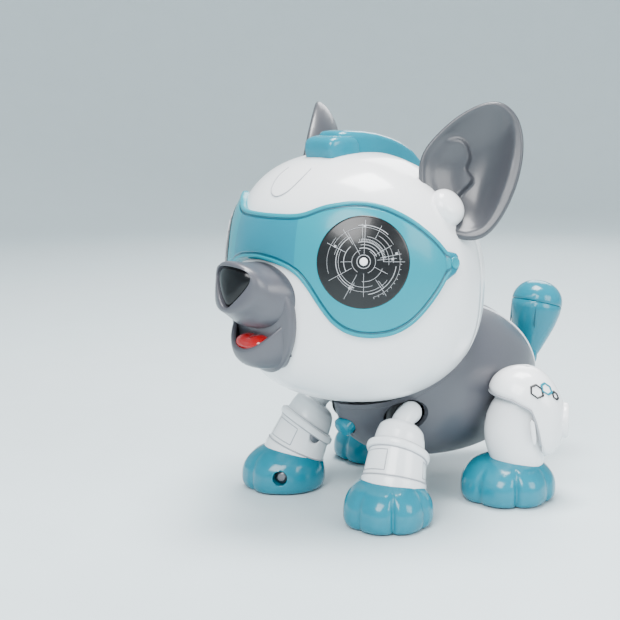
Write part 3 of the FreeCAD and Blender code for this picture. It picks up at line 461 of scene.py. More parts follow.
def visor():
    """The goggles: a raised rim, a groove painted darker teal as shade in its recess, and a plate that is
    darker over the nose bridge.
    """
    columns, middle_steps = 200, 24
    rows, tints = [], []
    for i in range(columns + 1):
        azimuth = mix(-VISOR_END, VISOR_END, i / columns)
        low, high = visor_limit(VISOR_BOTTOM, azimuth), visor_limit(VISOR_TOP, azimuth)
        span = math.radians(high - low) * MM_PER_RADIAN
        slant_low, slant_high = visor_slant(VISOR_BOTTOM, azimuth), visor_slant(VISOR_TOP, azimuth)
        reach = min(1, span / (VISOR_STOPS[-1] * (slant_low + slant_high) * 1.15))
        lows = [stop * slant_low * reach for stop in VISOR_STOPS]
        highs = [span - stop * slant_high * reach for stop in reversed(VISOR_STOPS)]
        middle = [mix(lows[-1], highs[0], k / middle_steps) for k in range(1, middle_steps)]
        edges = VISOR_STOPS + [VISOR_STOPS[-1]] * len(middle) + VISOR_STOPS[::-1]
        end_gap = math.radians(VISOR_END - abs(azimuth)) * MM_PER_RADIAN
        elevations = [mix(low, high, mark / span) for mark in lows + middle + highs]
        heights = [table(VISOR_HEIGHTS, min(edge, end_gap)) for edge in edges]
        rows.append([(on_head(azimuth, elevation, height), on_head(azimuth, elevation, SUNK))
                     for elevation, height in zip(elevations, heights)])
        cells = len(edges) - 1
        for j in range(cells):
            across = min(j, cells - 1 - j)
            bridge = abs(azimuth) < BRIDGE_HALF and across > max(GROOVE_STOPS)
            # tint 2 is the groove's darker teal, painted shade in its recess
            tints += [2 if across in GROOVE_STOPS else int(bridge), 0]
    del tints[-2 * cells:]
    add_mesh("visor", slab(rows), "head", TEAL_LIGHT, replaces=("goggles",),
             extras=(TEAL, TEAL_SHADE), tints=tints)


TAB_TOP = [(84, 17.6), (92.6, 15.8), (94.4, 13.4)]
TAB_BOTTOM = [(84, 3.2), (91.2, 6.6), (94.4, 10.2)]


def visor_tab(word, side):
    """The strap tab behind the eye plate."""
    steps = 24
    rows = []
    for i in range(steps + 1):
        azimuth = mix(TAB_TOP[0][0], TAB_TOP[-1][0], i / steps)
        low, high = table(TAB_BOTTOM, azimuth), table(TAB_TOP, azimuth)
        row = []
        for share in (0, 0.03, 0.08, 0.16, 0.3, 0.5, 0.7, 0.84, 0.92, 0.97, 1):
            height = 0.3 + 1.3 * smooth(min(share, 1 - share, (steps - i) / steps) / 0.08)
            elevation = mix(low, high, share)
            row.append((on_head(azimuth, elevation, height), on_head(azimuth, elevation, SUNK)))
        rows.append(row)
    add_mesh("visor_tab_" + word, slab(rows), "head", TEAL, side=side)


EYE_AXIS = direction(50.5, 11)
EYE_FRAME = axes(on_head(50.9, 13.8, 2), EYE_AXIS, UP)
LENS_RADIUS = 17.1
PRINT_TOP, PRINT_BOTTOM = 3, 2.75


def eye_point(radius, angle, rise):
    """The point over the head at a radius and angle about the eye's own axis, found by halving."""
    start = EYE_FRAME @ Vector((radius * math.cos(angle), radius * math.sin(angle), 0)) + EYE_AXIS * 12
    low, high = 0, 30.0
    for attempt in range(22):
        middle = (low + high) / 2
        reach = start - EYE_AXIS * middle - HEAD
        if reach.length > head_radius(reach.normalized()) + rise:
            low = middle
        else:
            high = middle
    return start - EYE_AXIS * middle


def eye_disc(profile, around):
    """(points, faces) of a (radius, rise) outline turned about the eye's axis over the head."""
    return loft([[eye_point(radius, a, rise) for a in turns(around)] for radius, rise in profile])


def eye_lens(word, side):
    """The dark round lens."""
    rim = LENS_RADIUS + 0.3
    profile = [(rim, 0.2), (rim, 1.2), (rim, 2.3), (LENS_RADIUS, 2.5), (LENS_RADIUS - 0.5, 2.5),
               (LENS_RADIUS - 3, 2.65), (12, 2.75), (9, 2.85), (6, 2.9), (3, 2.9), (0.05, 2.9)]
    add_mesh("eye_lens_%s_cover" % word, eye_disc(profile, 96), "head", LENS, side=side,
             replaces=("eye_lens_" + word,))


def print_strip(start, end, width, steps):
    """A flat printed line on the lens from (radius, degrees) to (radius, degrees)."""
    along_ring = start[0] == end[0]
    rows = []
    for i in range(steps + 1):
        radius = mix(start[0], end[0], i / steps)
        angle = math.radians(mix(start[1], end[1], i / steps))
        edges = [(radius + half, angle) if along_ring else (radius, angle + half / radius)
                 for half in (-width / 2, width / 2)]
        rows.append([(eye_point(*edge, PRINT_TOP), eye_point(*edge, PRINT_BOTTOM)) for edge in edges])
    return slab(rows)


ARCS = [(2.5, 0, 360, 0.3), (4.4, 15, 150, 0.18), (4.4, 200, 330, 0.18), (5.1, 292, 378, 0.35),
        (6.3, 290, 370, 0.2), (7.4, 40, 118, 0.3), (7.4, 175, 250, 0.18), (7.4, 270, 375, 0.3),
        (8.4, 296, 366, 0.14), (9.4, 60, 200, 0.16), (9.4, 262, 352, 0.16), (10.3, 28, 160, 0.35),
        (11.1, 30, 76, 0.14), (11.1, 120, 232, 0.16), (11.1, 268, 330, 0.16), (12.2, 188, 262, 0.3),
        (12.8, 300, 420, 0.14), (13.6, 48, 108, 0.14), (13.6, 196, 290, 0.14), (13.6, 318, 368, 0.3)]
SPOKES = [(28, 2.9, 12.4), (32, 7.6, 14.2), (62, 7.6, 15.2), (90, 4.4, 8.6), (118, 5, 14.6),
          (152, 5.4, 15.6), (156, 8.4, 12.6), (180, 4.4, 13), (214, 8, 15.2), (218, 9, 12.2),
          (243, 4.4, 10), (270, 7.4, 15.4), (276, 5.1, 12.4), (282, 6.3, 13.8), (300, 4.4, 12),
          (333, 9.6, 15), (357, 2.9, 15.6), (362, 7.4, 14)]
BLOTS = [(152, 10.6), (61, 11.6), (275, 10.4), (284, 12.2), (358, 12.8)]


def eye_print(word, side):
    """A plain dial of rings, spokes, ticks and blots round a bright dot."""
    strips = []
    for radius, first, last, width in ARCS:
        steps = max(4, int((last - first) / 6))
        strips.append(print_strip((radius, first), (radius, last), width * 0.75, steps))
    for angle, low, high in SPOKES:
        strips.append(print_strip((low, angle), (high, angle), 0.13, 5))
    for first, spacing, count, low, high in ((280, 4.3, 22, 7.6, 8.4), (196, 7.8, 12, 13.7, 14.3)):
        for tick in range(count):
            angle = first + tick * spacing
            strips.append(print_strip((low, angle), (high, angle), 0.16, 1))
    for angle, radius in BLOTS:
        strips.append(print_strip((radius, angle), (radius + 0.9, angle), 0.9, 1))
    add_mesh("eye_dial_" + word, joined(strips), "head", PRINT, side=side, smooth_faces=False)
    dot = [(1.5, 2.7), (1.5, 3), (1.3, 3.15), (0.6, 3.2), (0.03, 3.2)]
    add_mesh("eye_dot_" + word, eye_disc(dot, 32), "head", GLOW, side=side)


def studs():
    """The round studs on the strap tabs."""
    profile = rounded([(0.01, -3), (2.3, -3), (2.3, 1.3), (1.9, 1.6), (1.6, 1.2), (0.01, 1.2)], 0.25)
    at = on_head(91, 11.6, 0.9)
    for word, side in SIDES.items():
        nodes = ("goggle_studs",) if word == "left" else ()
        add_mesh("visor_stud_" + word, lathe(profile, 40), "head", TEAL_LIGHT,
                 axes(at, at - HEAD), side, nodes)


# ---- muzzle
MUZZLE_WIDE, MUZZLE_MIDDLE, MUZZLE_TALL = 21.2, -12.3, 23.8


def muzzle_base():
    """The oval plate that the snout and jaw stand on, following the head's skin."""
    profile = [(0.95, -3), (1, 0), (1, 2.4), (0.985, 3.2), (0.96, 3.7)]
    profile += [(share, 3.9) for share in (0.9, 0.8, 0.6, 0.4, 0.2, 0.02)]
    rings = []
    for share, rise in profile:
        wide, tall = MUZZLE_WIDE * share, MUZZLE_TALL * share
        rings.append([on_head(wide * math.cos(a), MUZZLE_MIDDLE + tall * math.sin(a), rise)
                      for a in turns(96)])
    add_mesh("muzzle_base", loft(rings), "head", GRAY, replaces=("muzzle",))


NOSE_MIDDLE = (0, 97)
NOSE_OPENING = [(-8.5, 103.6), (0, 104.8), (8.5, 103.6), (11, 100), (8.3, 95), (3.4, 89.8), (0, 88.2),
                (-3.4, 89.8), (-8.3, 95), (-11, 100)]
NOSE_LEAN = 0.11
NOSE_WRAP = 0.024


def nose_curl(point):
    """Near its tip the snout's sections curl back at the sides."""
    bend = smooth((-84.0 - point.y) / 8)
    return Vector((point.x, point.y + NOSE_WRAP * bend * point.x ** 2, point.z))


def snout_ring(y, z, high, wide):
    """An oval ring of the snout that leans back a little at its top."""
    return [Vector((wide * powered(math.cos(a), 0.92), y + NOSE_LEAN * high * math.sin(a),
                    z + high * powered(math.sin(a), 0.92))) for a in turns(72)]


def nose_ring(y, share):
    """A ring of the nose opening's rounded triangle, scaled about its middle."""
    ring = []
    for a, reach in zip(turns(72), star(NOSE_OPENING, NOSE_MIDDLE)):
        x, rise = reach * share * math.cos(a), reach * share * math.sin(a)
        ring.append(Vector((x, y + NOSE_LEAN * rise, NOSE_MIDDLE[1] + rise)))
    return ring


def snout():
    """The snout with the nose opening at its end, and the black nose in the opening."""
    ovals = [(-66, 92, 13.5, 19.5), (-76, 92, 13, 18), (-82, 92.2, 12.8, 16.3), (-87, 93.2, 12, 14.4),
             (-91, 95, 10.9, 14), (-93.6, 96.1, 10.2, 13.7), (-94.8, 96.4, 9.8, 13.2),
             (-95.4, 96.5, 9.4, 12.5)]
    lip = [(-95.6, 1.02), (-95.4, 0.98), (-94.8, 0.96), (-91, 0.94)]
    rings = [snout_ring(*oval) for oval in ovals] + [nose_ring(y, share) for y, share in lip]
    add_mesh("snout", changed(loft(rings), nose_curl), "head", GRAY)
    tip = [(-90.8, 0.95), (-93.2, 0.95), (-94, 0.9), (-94.6, 0.78), (-95, 0.6), (-95.2, 0.35), (-95.3, 0.02)]
    nose = changed(loft([nose_ring(y, share) for y, share in tip]), nose_curl)
    add_mesh("nose_tip", nose, "head", BLACK, replaces=("nose",))


JAW = Vector((0, -70.6, 62.4))


def jaw():
    """An open bowl under the snout, whose lip rises from the chin to the snout's sides; its inside is the
    same gray painted darker as shade.
    """
    around, steps, narrow = 96, 12, 0.93
    radius, wall = 19, 2.3
    lip_low, lip_rise, floor_height = 9.6, 16, 6.0

    def ring(height_of, reach):
        row = []
        for turn in turns(around):
            a = turn - math.pi
            spread = math.degrees(abs(a))
            lip = lip_low + lip_rise * smooth(spread / 95) ** 1.2
            tucked = reach * (1 - 0.3 * smooth((spread - 62) / 48))
            row.append(JAW + Vector((narrow * tucked * math.sin(a), -tucked * math.cos(a), height_of(lip))))
        return row

    rows = [ring(lambda top: 0, 0.05)]
    for i in range(1, steps + 1):
        t = math.pi / 2 * i / steps
        share = (1 - math.cos(t)) ** 1.1
        rows.append(ring(lambda top: (top - 1.3) * share, radius * math.sin(t) ** 0.75))
    for inset, drop in ((0.15, 0.6), (0.6, 0.15), (1.15, 0), (1.7, 0.15), (2.15, 0.6)):
        rows.append(ring(lambda top: top - drop, radius - inset))
    outside = len(rows) - 1
    rows.append(ring(lambda top: mix(top, floor_height, 0.4), radius - wall))
    rows.append(ring(lambda top: floor_height + 0.4, radius - wall - 0.8))
    rows.append(ring(lambda top: floor_height, radius * 0.7))
    rows.append(ring(lambda top: floor_height, 0.05))
    # the rows inside the lip take the darker gray, painted shade
    tints = [int(index // around >= outside) for index in range(around * (len(rows) - 1))]
    add_mesh("jaw_cup", loft(rows), "head", GRAY, extras=(GRAY_SHADE,), tints=tints)


def tongue():
    """A fat rounded pad that lies in the jaw and on its lip, with a shallow furrow."""
    path = curve_through([(0.6, -68, 73), (0.6, -75, 74.2), (0.6, -81.5, 74.7), (0.6, -85.6, 74.2),
                          (0.6, -88, 72.8)], 6)
    rings = []
    for i, point in enumerate(path):
        end = max(0, (i / (len(path) - 1) - 0.55) / 0.45)
        wide = 8.0 * math.sqrt(1 - end ** 2.6) + 0.12
        thick = 2.7 * math.sqrt(1 - end ** 4) + 0.1
        ring = []
        for a in turns(40):
            x, rise = wide * math.cos(a), math.sin(a)
            furrow = 0.7 * math.exp(-(x / 2.6) ** 2) * max(0, rise) * (thick / 2.3)
            ring.append(point + Vector((x, 0, thick * rise - furrow)))
        rings.append(ring)
    add_mesh("tongue_tip", loft(rings), "head", RED, replaces=("tongue",))


def forehead_groove():
    """A soft gray U line above the bridge of the goggles: painted shade of a shallow groove."""
    marks = [(-13, 56), (-11.5, 49), (-7, 42.5), (0, 40), (7, 42.5), (11.5, 49), (13, 56)]
    path = curve_through([on_head(azimuth, elevation) for azimuth, elevation in marks], 6)
    line = tube(path, 0.28, 10, up=Vector((0, -0.5, 0.85)))
    add_mesh("forehead_line", line, "head", SEAM_SHADE)


# ---- crest
def crest_ring(y, half, top, lean=0):
    """A rounded box section across the head at a distance back, from under the skin up to its top."""
    sunk, power = 3, 0.42
    skin = HEAD.z + HALF_UP * math.sqrt(1 - ((y - HEAD.y) / MEAN_RADIUS) ** 2)
    low = min(skin, top) - sunk
    ring = []
    for a in turns(48):
        rise = powered(math.sin(a), power)
        ring.append(Vector((half * powered(math.cos(a), power), y + lean * rise,
                            (top + low) / 2 + (top - low) / 2 * rise)))
    return ring


def crest():
    """The block over the forehead and the ridge that runs back from it, as rows of (y, half width, top)."""
    block = [(-49.8, 6.4, 148.4), (-49.7, 7.6, 150.2), (-49, 8.4, 151.6), (-47.2, 8.8, 152.6),
             (-44, 9, 153.1), (-40, 9, 153.2), (-36.6, 8.8, 152.9), (-35, 8.4, 152.2),
             (-34.2, 7.6, 151), (-34, 6.6, 149.8)]
    shape = loft([crest_ring(*row, lean=-1) for row in block])
    add_mesh("crest_block", shape, "head", TEAL, replaces=("crest",))
    ridge = [(-44.6, 5.4, 152), (-44.4, 6.4, 153.8), (-43.2, 7.2, 154.7), (-39, 7.8, 155),
             (-32, 8.3, 154.8), (-24.5, 8.4, 153.9), (-17, 8.2, 152.2), (-10.4, 7.7, 150.1), (-3, 6.8, 146.6),
             (2, 5.6, 143), (5.2, 4.2, 140.7), (6.4, 2.8, 139.6)]
    add_mesh("crest_ridge", loft([crest_ring(*row) for row in ridge]), "head", TEAL)


# ---- ears
EAR_AZIMUTH = 43.0
EAR_FACE = direction(EAR_AZIMUTH, 10)
EAR_ROOT = Vector((45.1, -22.6, 127.7))
HUB = direction(99.5, 35)
EAR_EDGE = [(-9, 2), (-11.2, 11), (-9.6, 19.5), (-4, 27), (4, 34), (13, 38.6), (20, 38.9), (25.6, 34.4),
            (28.4, 27), (28.6, 17), (26, 5.2), (20.5, -6.5), (14, -13.2), (6, -14), (-3, -9)]
EAR_MIDDLE = Vector((9.5, 12.5, 0))
FOLD = [(1, 3), (3, 4.2), (6.2, 6.4), (9.7, 10.6), (12, 8.4), (14.7, 6.6), (17.4, 8.9), (21, 8.2),
        (24.4, 7), (27, 2)]


def ear_front(place, share, rim):
    """Height of the ear's front: a rounded rim, a hollow, and a fold that stands up in the hollow."""
    deep = 9.5
    if share > 1 - rim:
        height = 0.36 * smooth((share - (1 - rim)) / rim * 1.2)
        inside = 0.0
    else:
        inside = 1 - share / (1 - rim)
        height = -deep * (1 - (1 - inside) ** 2.4)
    height -= 0.8 * smooth((share - 0.965) / 0.035)
    if 0 < place.y < 27.5:
        ledge = sum(table(FOLD, place.y + d) for d in (-1.6, -0.8, 0, 0.8, 1.6)) / 5
        ends = smooth((place.y - 1) / 3) * smooth((27 - place.y) / 3)
        height += 2.2 * smooth((ledge - place.x) / 2.2 + 0.5) * smooth(inside * 3) * ends
    return Vector((0, 0, height))


def ear(word, side):
    """An open scoop with a thin rim on its inner side and a broad one on its outer side."""
    place = axes(EAR_ROOT, EAR_FACE, direction(EAR_AZIMUTH + 90, 0))
    edge = curve_through([(x, y, 0) for x, y in EAR_EDGE], 7, closed=True)
    thick, deep, steps = 1.6, 13, 30
    front, back = [], []
    for k in range(steps + 1):
        share = mix(0.02, 1, k / steps)
        row_front, row_back = [], []
        for point in edge:
            spoke = point - EAR_MIDDLE
            ray = spoke.normalized()
            rim = mix(1.3, 4.4, smooth((ray.x * 0.85 - ray.y * 0.3 + 0.35) / 1.1)) / spoke.length
            flat = EAR_MIDDLE + spoke * share
            row_front.append(flat + ear_front(flat, share, rim))
            row_back.append(flat - UP * (thick + deep * (1 - share ** 2.6) ** 0.75))
        front.append(row_front)
        back.append(row_back)
    add_mesh("ear_scoop_" + word, loft(front + back[::-1]), word + "_ear", EAR_GRAY, place, side,
             ("ear_" + word,))


def ear_hub(word, side):
    """The round hub that the ear stands on."""
    root = HEAD + HUB * head_radius(HUB)
    profile = rounded([(0.01, -6), (7.9, -6), (7.8, 0.2), (7.3, 2.2), (6, 3.9), (3.6, 4.9), (0.01, 5.2)], 1.4)
    add_mesh("ear_hub_dome_" + word, lathe(profile, 64), "head", WHITE, axes(root, HUB), side,
             ("ear_hub_" + word,))


# ---- torso: its back, and painted highlight lines along the spine
TORSO_Y, TORSO_UP, TORSO_TILT = 10.5, 48.8, math.radians(6.4)
TORSO_WIDE, TORSO_HIGH, TORSO_REAR = 34, 36.6, 65.5


def torso_back(y, x, rise):
    """A point over the torso's upper skin, behind its middle."""
    share = (y - TORSO_Y) / TORSO_REAR
    size = math.sqrt(1 - share ** 2)
    half, high = TORSO_WIDE * size, TORSO_HIGH * size
    lift = high * math.sqrt(1 - (x / half) ** 2)
    out = Vector((x / half ** 2, 0.25 * share / TORSO_REAR, lift / high ** 2))
    return Vector((x, y, TORSO_UP - math.tan(TORSO_TILT) * (y - TORSO_Y) + lift)) + out.normalized() * rise


def spine_highlight():
    """A thin white line along both sides of the spine strip: a painted highlight on the strip's edges."""
    first, last, half, steps = 24.5, 69.5, 14.2, 30
    path = [torso_back(mix(first, last, i / steps), half, 0.1) for i in range(steps + 1)]
    for word, side in SIDES.items():
        # white tubes on the gray back: painted highlight
        add_mesh("spine_edge_highlight_" + word, tube(path, 0.55, 12), "torso", WHITE, side=side)


# ---- front legs: the sleeve stands on LEG_FOOT and its outlines are (radius, height) along LEG_AXIS
LEG_FOOT = Vector((31.8, -37, 13))
LEG_AXIS = Vector((-0.194, 0.375, 0.907)).normalized()
TOES = direction(54, 0)
OUTWARDS = UP.cross(TOES) * -1
WELL_SIDE, WELL_REAR, WELL_UP = 0.76, 0.65, 9.5
LEG_PROFILE = [(-1.5, 13.4), (3, 13.3), (3.5, 12.9), (8, 12.4), (12.5, 11.9), (16.6, 11.9), (16.8, 10.5),
               (20, 10.1), (23, 9.3)]
RING_LOW, RING_HIGH = 12.8, 16.0
LEG_PLACE = axes(LEG_FOOT, LEG_AXIS, TOES)
LEG_UP = LEG_PLACE.to_3x3() @ UP


def leg_lean(point):
    """The sleeve bends: from the cuff up to the ring its sections tip up over the toes."""
    bend = smooth((point.z - 2) / 11)
    return Vector((point.x, point.y, point.z + bend * (0.17 * point.x - 0.13 * point.y)))


def leg_panel(angle):
    """A thin rectangular gray line on the sleeve, centred on an angle: painted shade of a sunk panel line."""
    half, low, high, sunk = 0.5, 4.8, 11.2, 0.12
    path = []
    for turn, height in along_sides([(-half, low), (half, low), (half, high), (-half, high)], 8):
        radius = table(LEG_PROFILE, height) - sunk
        point = Vector((radius * math.cos(angle + turn), radius * math.sin(angle + turn), height))
        path.append(LEG_PLACE @ leg_lean(point))
    return tube(path, 0.26, 8, up=LEG_UP)


def front_leg(word, side):
    """The sleeve with its screw well, lined dark as painted shade, the raised ring round it, and the seam and
    panel lines drawn gray as painted shade.
    """
    body = "front_%s_leg" % word
    sleeve = rounded([(0.01, -1.5), (13.4, -1.5), (13.3, 2.6), (12.8, 3.1), (12.8, 3.7), (12.4, 8),
                      (11.9, 12.5), (11.9, 16.4), (10.6, 16.6), (10.1, 20.4), (9.2, 23.6), (7.6, 25.2),
                      (5.2, 26), (4.6, 25.6), (4.6, 24), (0.01, 24)], 0.6)
    piece = add_mesh("front_%s_sleeve" % word, changed(lathe(sleeve), leg_lean), body, WHITE,
                     LEG_PLACE, side, ("front_%s_leg_outer" % word, "front_%s_leg_inner" % word))
    well_ray = LEG_AXIS.cross(TOES) * -WELL_SIDE - TOES * WELL_REAR
    well = LEG_FOOT + LEG_AXIS * WELL_UP + well_ray.normalized() * 11.9
    # the well's dark lining is painted shade
    bore(piece, mirrored(well, side), mirrored(well_ray, side), 2.7, 2.2, DARK_AND_WELL_SHADE)
    band = rounded([(10.8, RING_LOW), (12.5, RING_LOW), (13, RING_LOW + 0.7), (13, RING_HIGH - 0.7),
                    (12.5, RING_HIGH), (10.8, RING_HIGH)], 0.6)
    ring = loft([circle(radius, height) for radius, height in band], closed=True)
    add_mesh("front_%s_ring" % word, changed(ring, leg_lean), body, WHITE, LEG_PLACE, side)
    # gray lines at the cuff and round the ring: painted shade in the seams
    for index, (height, radius) in enumerate(((3.3, 13), (RING_LOW - 0.15, 12), (RING_HIGH + 0.2, 11.5))):
        path = [LEG_PLACE @ leg_lean(point) for point in circle(radius, height)]
        seam = tube(path + path[:1], 0.3, 8, up=LEG_UP)
        add_mesh("front_%s_seam_%d" % (word, index), seam, body, SEAM_SHADE, side=side)
    for index, angle in enumerate((-1.05, 1.35)):
        add_mesh("front_%s_panel_line_%d" % (word, index), leg_panel(angle), body, SEAM_SHADE,
                 side=side)


def elbow(word, side):
    """The bent arm from the shoulder hole down into the sleeve."""
    in_leg = [LEG_FOOT + LEG_AXIS * height for height in (27.5, 24, 21)]
    path = curve_through([(15.4, -18.8, 37.4), (20, -18.9, 38), (24, -19.8, 39.6), (25.8, -22, 40.6),
                          *in_leg], 6)
    thickness = [(0, 4.2), (0.2, 4.3), (0.4, 4.4), (0.62, 4.5), (0.8, 4.6)]
    radii = [table(thickness, i / (len(path) - 1)) for i in range(len(path))]
    body = "front_%s_elbow" % word
    arm = tube(path, radii, 32, up=Vector((0, 1, 0)))
    add_mesh("front_%s_arm" % word, arm, body, WHITE, None, side, (body,))


# ---- paws
def bell(x, middle, width, power=2):
    """A soft bump of height 1 at a middle and its mirror image."""
    return math.exp(-abs((abs(x) - middle) / width) ** power)


def paw(name, body, centre, wide, tall, side, node):
    """A low dome with two big front toes split by a groove and a softer lobe on each side."""
    ahead_reach, behind_reach, across_reach, top, sole, steps = 18.2, 18.4, 18.3, 18.4, 3.2, 30

    def ring(share, height):
        row = []
        for a in turns(180):
            turn = math.degrees(a if a <= math.pi else a - 2 * math.pi)
            ahead, across = math.cos(a), math.sin(a)
            reach = ahead_reach if ahead > 0 else behind_reach
            radius = 1 / math.hypot(ahead / reach, across / across_reach)
            toes = 1.3 * bell(turn, 22, 17) + 0.9 * bell(turn, 72, 18)
            grooves = 1.8 * bell(turn, 0, 3.2, 1.4) + bell(turn, 50, 4.5)
            fade = smooth((0.97 - height / (top + 2.6)) * 1.7)
            radius = (radius + (toes - grooves) * fade) * share * wide
            row.append(Vector((radius * ahead, radius * across, height * tall)))
        return row

    foot = [(0.02, 0), (0.5, 0), (0.86, 0), (0.905, 0.3), (0.94, 1), (0.965, 2)]
    rings = [ring(share, height) for share, height in foot]
    for i in range(steps + 1):
        t = math.pi / 2 * i / steps
        share = 0.98 + 0.02 * math.sin(min(t * 3, math.pi))
        rings.append(ring(share * max(math.cos(t), 0.02) ** 0.62, mix(sole, top, math.sin(t) ** 0.92)))
    return add_mesh(name, loft(rings), body, TEAL, axes(centre, UP, TOES), side, (node,))


FRONT_PAW = Vector((32.9, -40.9, 0))
REAR_PAW = Vector((40.6, 21.9, 0))
PAW_WELL = FRONT_PAW + UP * 7.5 + OUTWARDS * 16.5 - TOES * 2.5


def paws(word, side):
    """The front paw with its screw well, whose walls are painted dark teal as shade, and the rear paw."""
    front, rear = "front_%s_paw" % word, "rear_%s_paw" % word
    piece = paw("front_%s_foot" % word, "front_%s_leg" % word, FRONT_PAW, 0.98, 1, side, front)
    # the well's dark teal lining is painted shade
    bore(piece, mirrored(PAW_WELL, side), mirrored(OUTWARDS, side), 3.1, 3.6, TEAL_SHADE)
    paw("rear_%s_foot" % word, rear, REAR_PAW, 1.09, 0.98, side, rear)


# ---- rear legs
SHIN_FOOT = Vector((44.5, 25, 13.5))
SIDEWAYS = direction(140, 0)
KNOB_AXIS = direction(129, 0)
THIGH = Vector((47.4, 28.4, 36))
THIGH_INSIDE = 34.5
THIGH_EDGE = [(-135, -58), (-126, 30), (-60, 33), (12.6, 31), (34.6, 22.8), (42, 18.5), (45, 10),
              (49.5, -3.5), (58.4, -35.4), (66.6, -50.3), (75, -58)]


def shin_bulge(point):
    """The shin swells on the side away from the knob, and its side towards the torso is flat."""
    ahead = max(0, -point.dot(SIDEWAYS)) / 11.6
    moved = point - SIDEWAYS * (1.2 + 2.6 * math.sin(math.pi * min(point.z / 30, 1))) * ahead
    return Vector((max(moved.x, THIGH_INSIDE - SHIN_FOOT.x), moved.y, moved.z))


def shin(word, side):
    """The lower leg."""
    profile = rounded([(0.01, 0), (9.9, 0), (10.6, 4.5), (11.3, 10), (11.6, 16.5), (11.3, 24),
                       (10, 29.5), (7, 33), (0.01, 34)], 3)
    add_mesh("rear_%s_shin" % word, changed(lathe(profile), shin_bulge), "rear_%s_leg" % word, WHITE,
             Matrix.Translation(SHIN_FOOT), side, ("rear_%s_leg" % word,))


def thigh_point(azimuth, elevation, scale=1):
    """A point of the thigh cover's egg about its own centre, in the directions of the row frame."""
    ray = direction(azimuth, elevation)
    out, wide = ray.dot(SIDEWAYS), ray.dot(SIDEWAYS.cross(UP))
    half_out = 14.0 if out > 0 else 18.6
    half_wide, half_up, power = 15, 21, 2.25
    size = abs(out / half_out) ** power + abs(wide / half_wide) ** power + abs(ray.z / half_up) ** power
    point = ray * (size ** (-1 / power) * scale)
    return THIGH + point - SIDEWAYS * (3.2 * smooth(point.z / half_up))


def thigh_limit(azimuth):
    """How far down the cover reaches: high over the shin, low on the outer side."""
    return table(THIGH_EDGE, (azimuth + 180) % 360.0 - 180)


def thigh_flat(point, inset=0):
    """The side towards the torso is flat."""
    return Vector((max(point.x, THIGH_INSIDE + inset), point.y, point.z))


def thigh(word, side):
    """The cover: a thick sheet from the top of the thigh down to its edge."""
    around, steps = 180, 28
    rows = []
    for i in range(steps + 1):
        row = []
        for j in range(around):
            azimuth = 360.0 * j / around
            elevation = mix(89.4, thigh_limit(azimuth), (i / steps) ** 0.9)
            edge = smooth((steps - i) / 2)
            row.append((thigh_flat(thigh_point(azimuth, elevation, 1 - 0.035 * (1 - edge))),
                        thigh_flat(thigh_point(azimuth, elevation, 0.87), 0.9)))
        rows.append(row)
    add_mesh("rear_%s_cover" % word, slab(rows, wrap=True), "rear_%s_leg" % word, WHITE,
             None, side, ("rear_%s_thigh_cover" % word,))


def thigh_seam(word, side):
    """The shadow line where the cover's lower edge meets the shin."""
    path = []
    for k in range(61):
        azimuth = mix(-58, 60, k / 60)
        path.append(thigh_flat(thigh_point(azimuth, thigh_limit(azimuth) - 1, 0.965)))
    seam = tube(path, 0.55, 10, up=Vector((0.6, -0.5, 0.6)))
    add_mesh("rear_%s_seam" % word, seam, "rear_%s_leg" % word, SEAM_SHADE, side=side)


def thigh_print(word, side):
    """Three plain printed hexagons on the upper outer side of the thigh."""
    marks = [(59, 45, 8.6, 1.4, INK), (81, 47, 7.4, 1.5, TEAL), (95, 37, 5.4, 1.3, INK)]
    for index, (azimuth, elevation, radius, stretch, ink) in enumerate(marks):
        corners = [(azimuth + radius * stretch * math.cos(a), elevation + radius * math.sin(a))
                   for a in [math.pi / 3 * k + 0.3 for k in range(6)]]
        path = [thigh_point(*place) for place in along_sides(corners, 4)]
        line = tube(path, 0.62, 8, flat=0.5, up=Vector((0.5, 0.2, 0.85)))
        name = "rear_%s_print_%d" % (word, index)
        add_mesh(name, line, "rear_%s_leg" % word, ink, side=side)


def knob(word, side):
    """The round knob at the hip: a rim and a gray hub in a shallow recess."""
    body = "rear_%s_leg" % word
    place = axes(THIGH - UP * 2.0 + KNOB_AXIS * 13.8, KNOB_AXIS)
    rim = rounded([(0.01, -6), (7.5, -6), (7.5, 1), (6.9, 1.8), (5.4, 1.8), (5.1, 1.4), (0.01, 1.4)], 0.4)
    add_mesh("rear_%s_knob_rim" % word, lathe(rim), body, WHITE, place, side,
             ("rear_%s_knob" % word,))
    hub = rounded([(0.01, 0.8), (4.9, 0.8), (4.9, 1.5), (4.6, 1.7), (0.01, 1.7)], 0.2)
    add_mesh("rear_%s_knob_hub" % word, lathe(hub, 48), body, GRAY_LIGHT, place, side)


def shin_tab(word, side):
    """A small slanted tab between the shin and the cover's edge."""
    steps = 12
    rows = []
    for i in range(steps + 1):
        elevation = mix(4, -38, i / steps)
        edge = mix(41.5, 47.5, i / steps)
        half = 4.0 * math.sqrt(1 - (2 * i / steps - 1) ** 4) + 0.3
        row = []
        for across in (-1, -0.8, -0.3, 0.3, 0.8, 1):
            scale = 0.985 if abs(across) < 0.9 else 0.955
            azimuth = edge + across * half
            row.append((thigh_point(azimuth, elevation, scale), thigh_point(azimuth, elevation, 0.86)))
        rows.append(row)
    add_mesh("rear_%s_tab" % word, slab(rows), "rear_%s_leg" % word, WHITE, side=side)


# ---- tail
TAIL_ROOT = Vector((0, 80.5, 47.5))
TAIL_LEAN = Vector((0, 0.27, 1)).normalized()
TAIL_LENGTH, TAIL_RADIUS, TAIL_CAP = 25, 11.9, 10.4


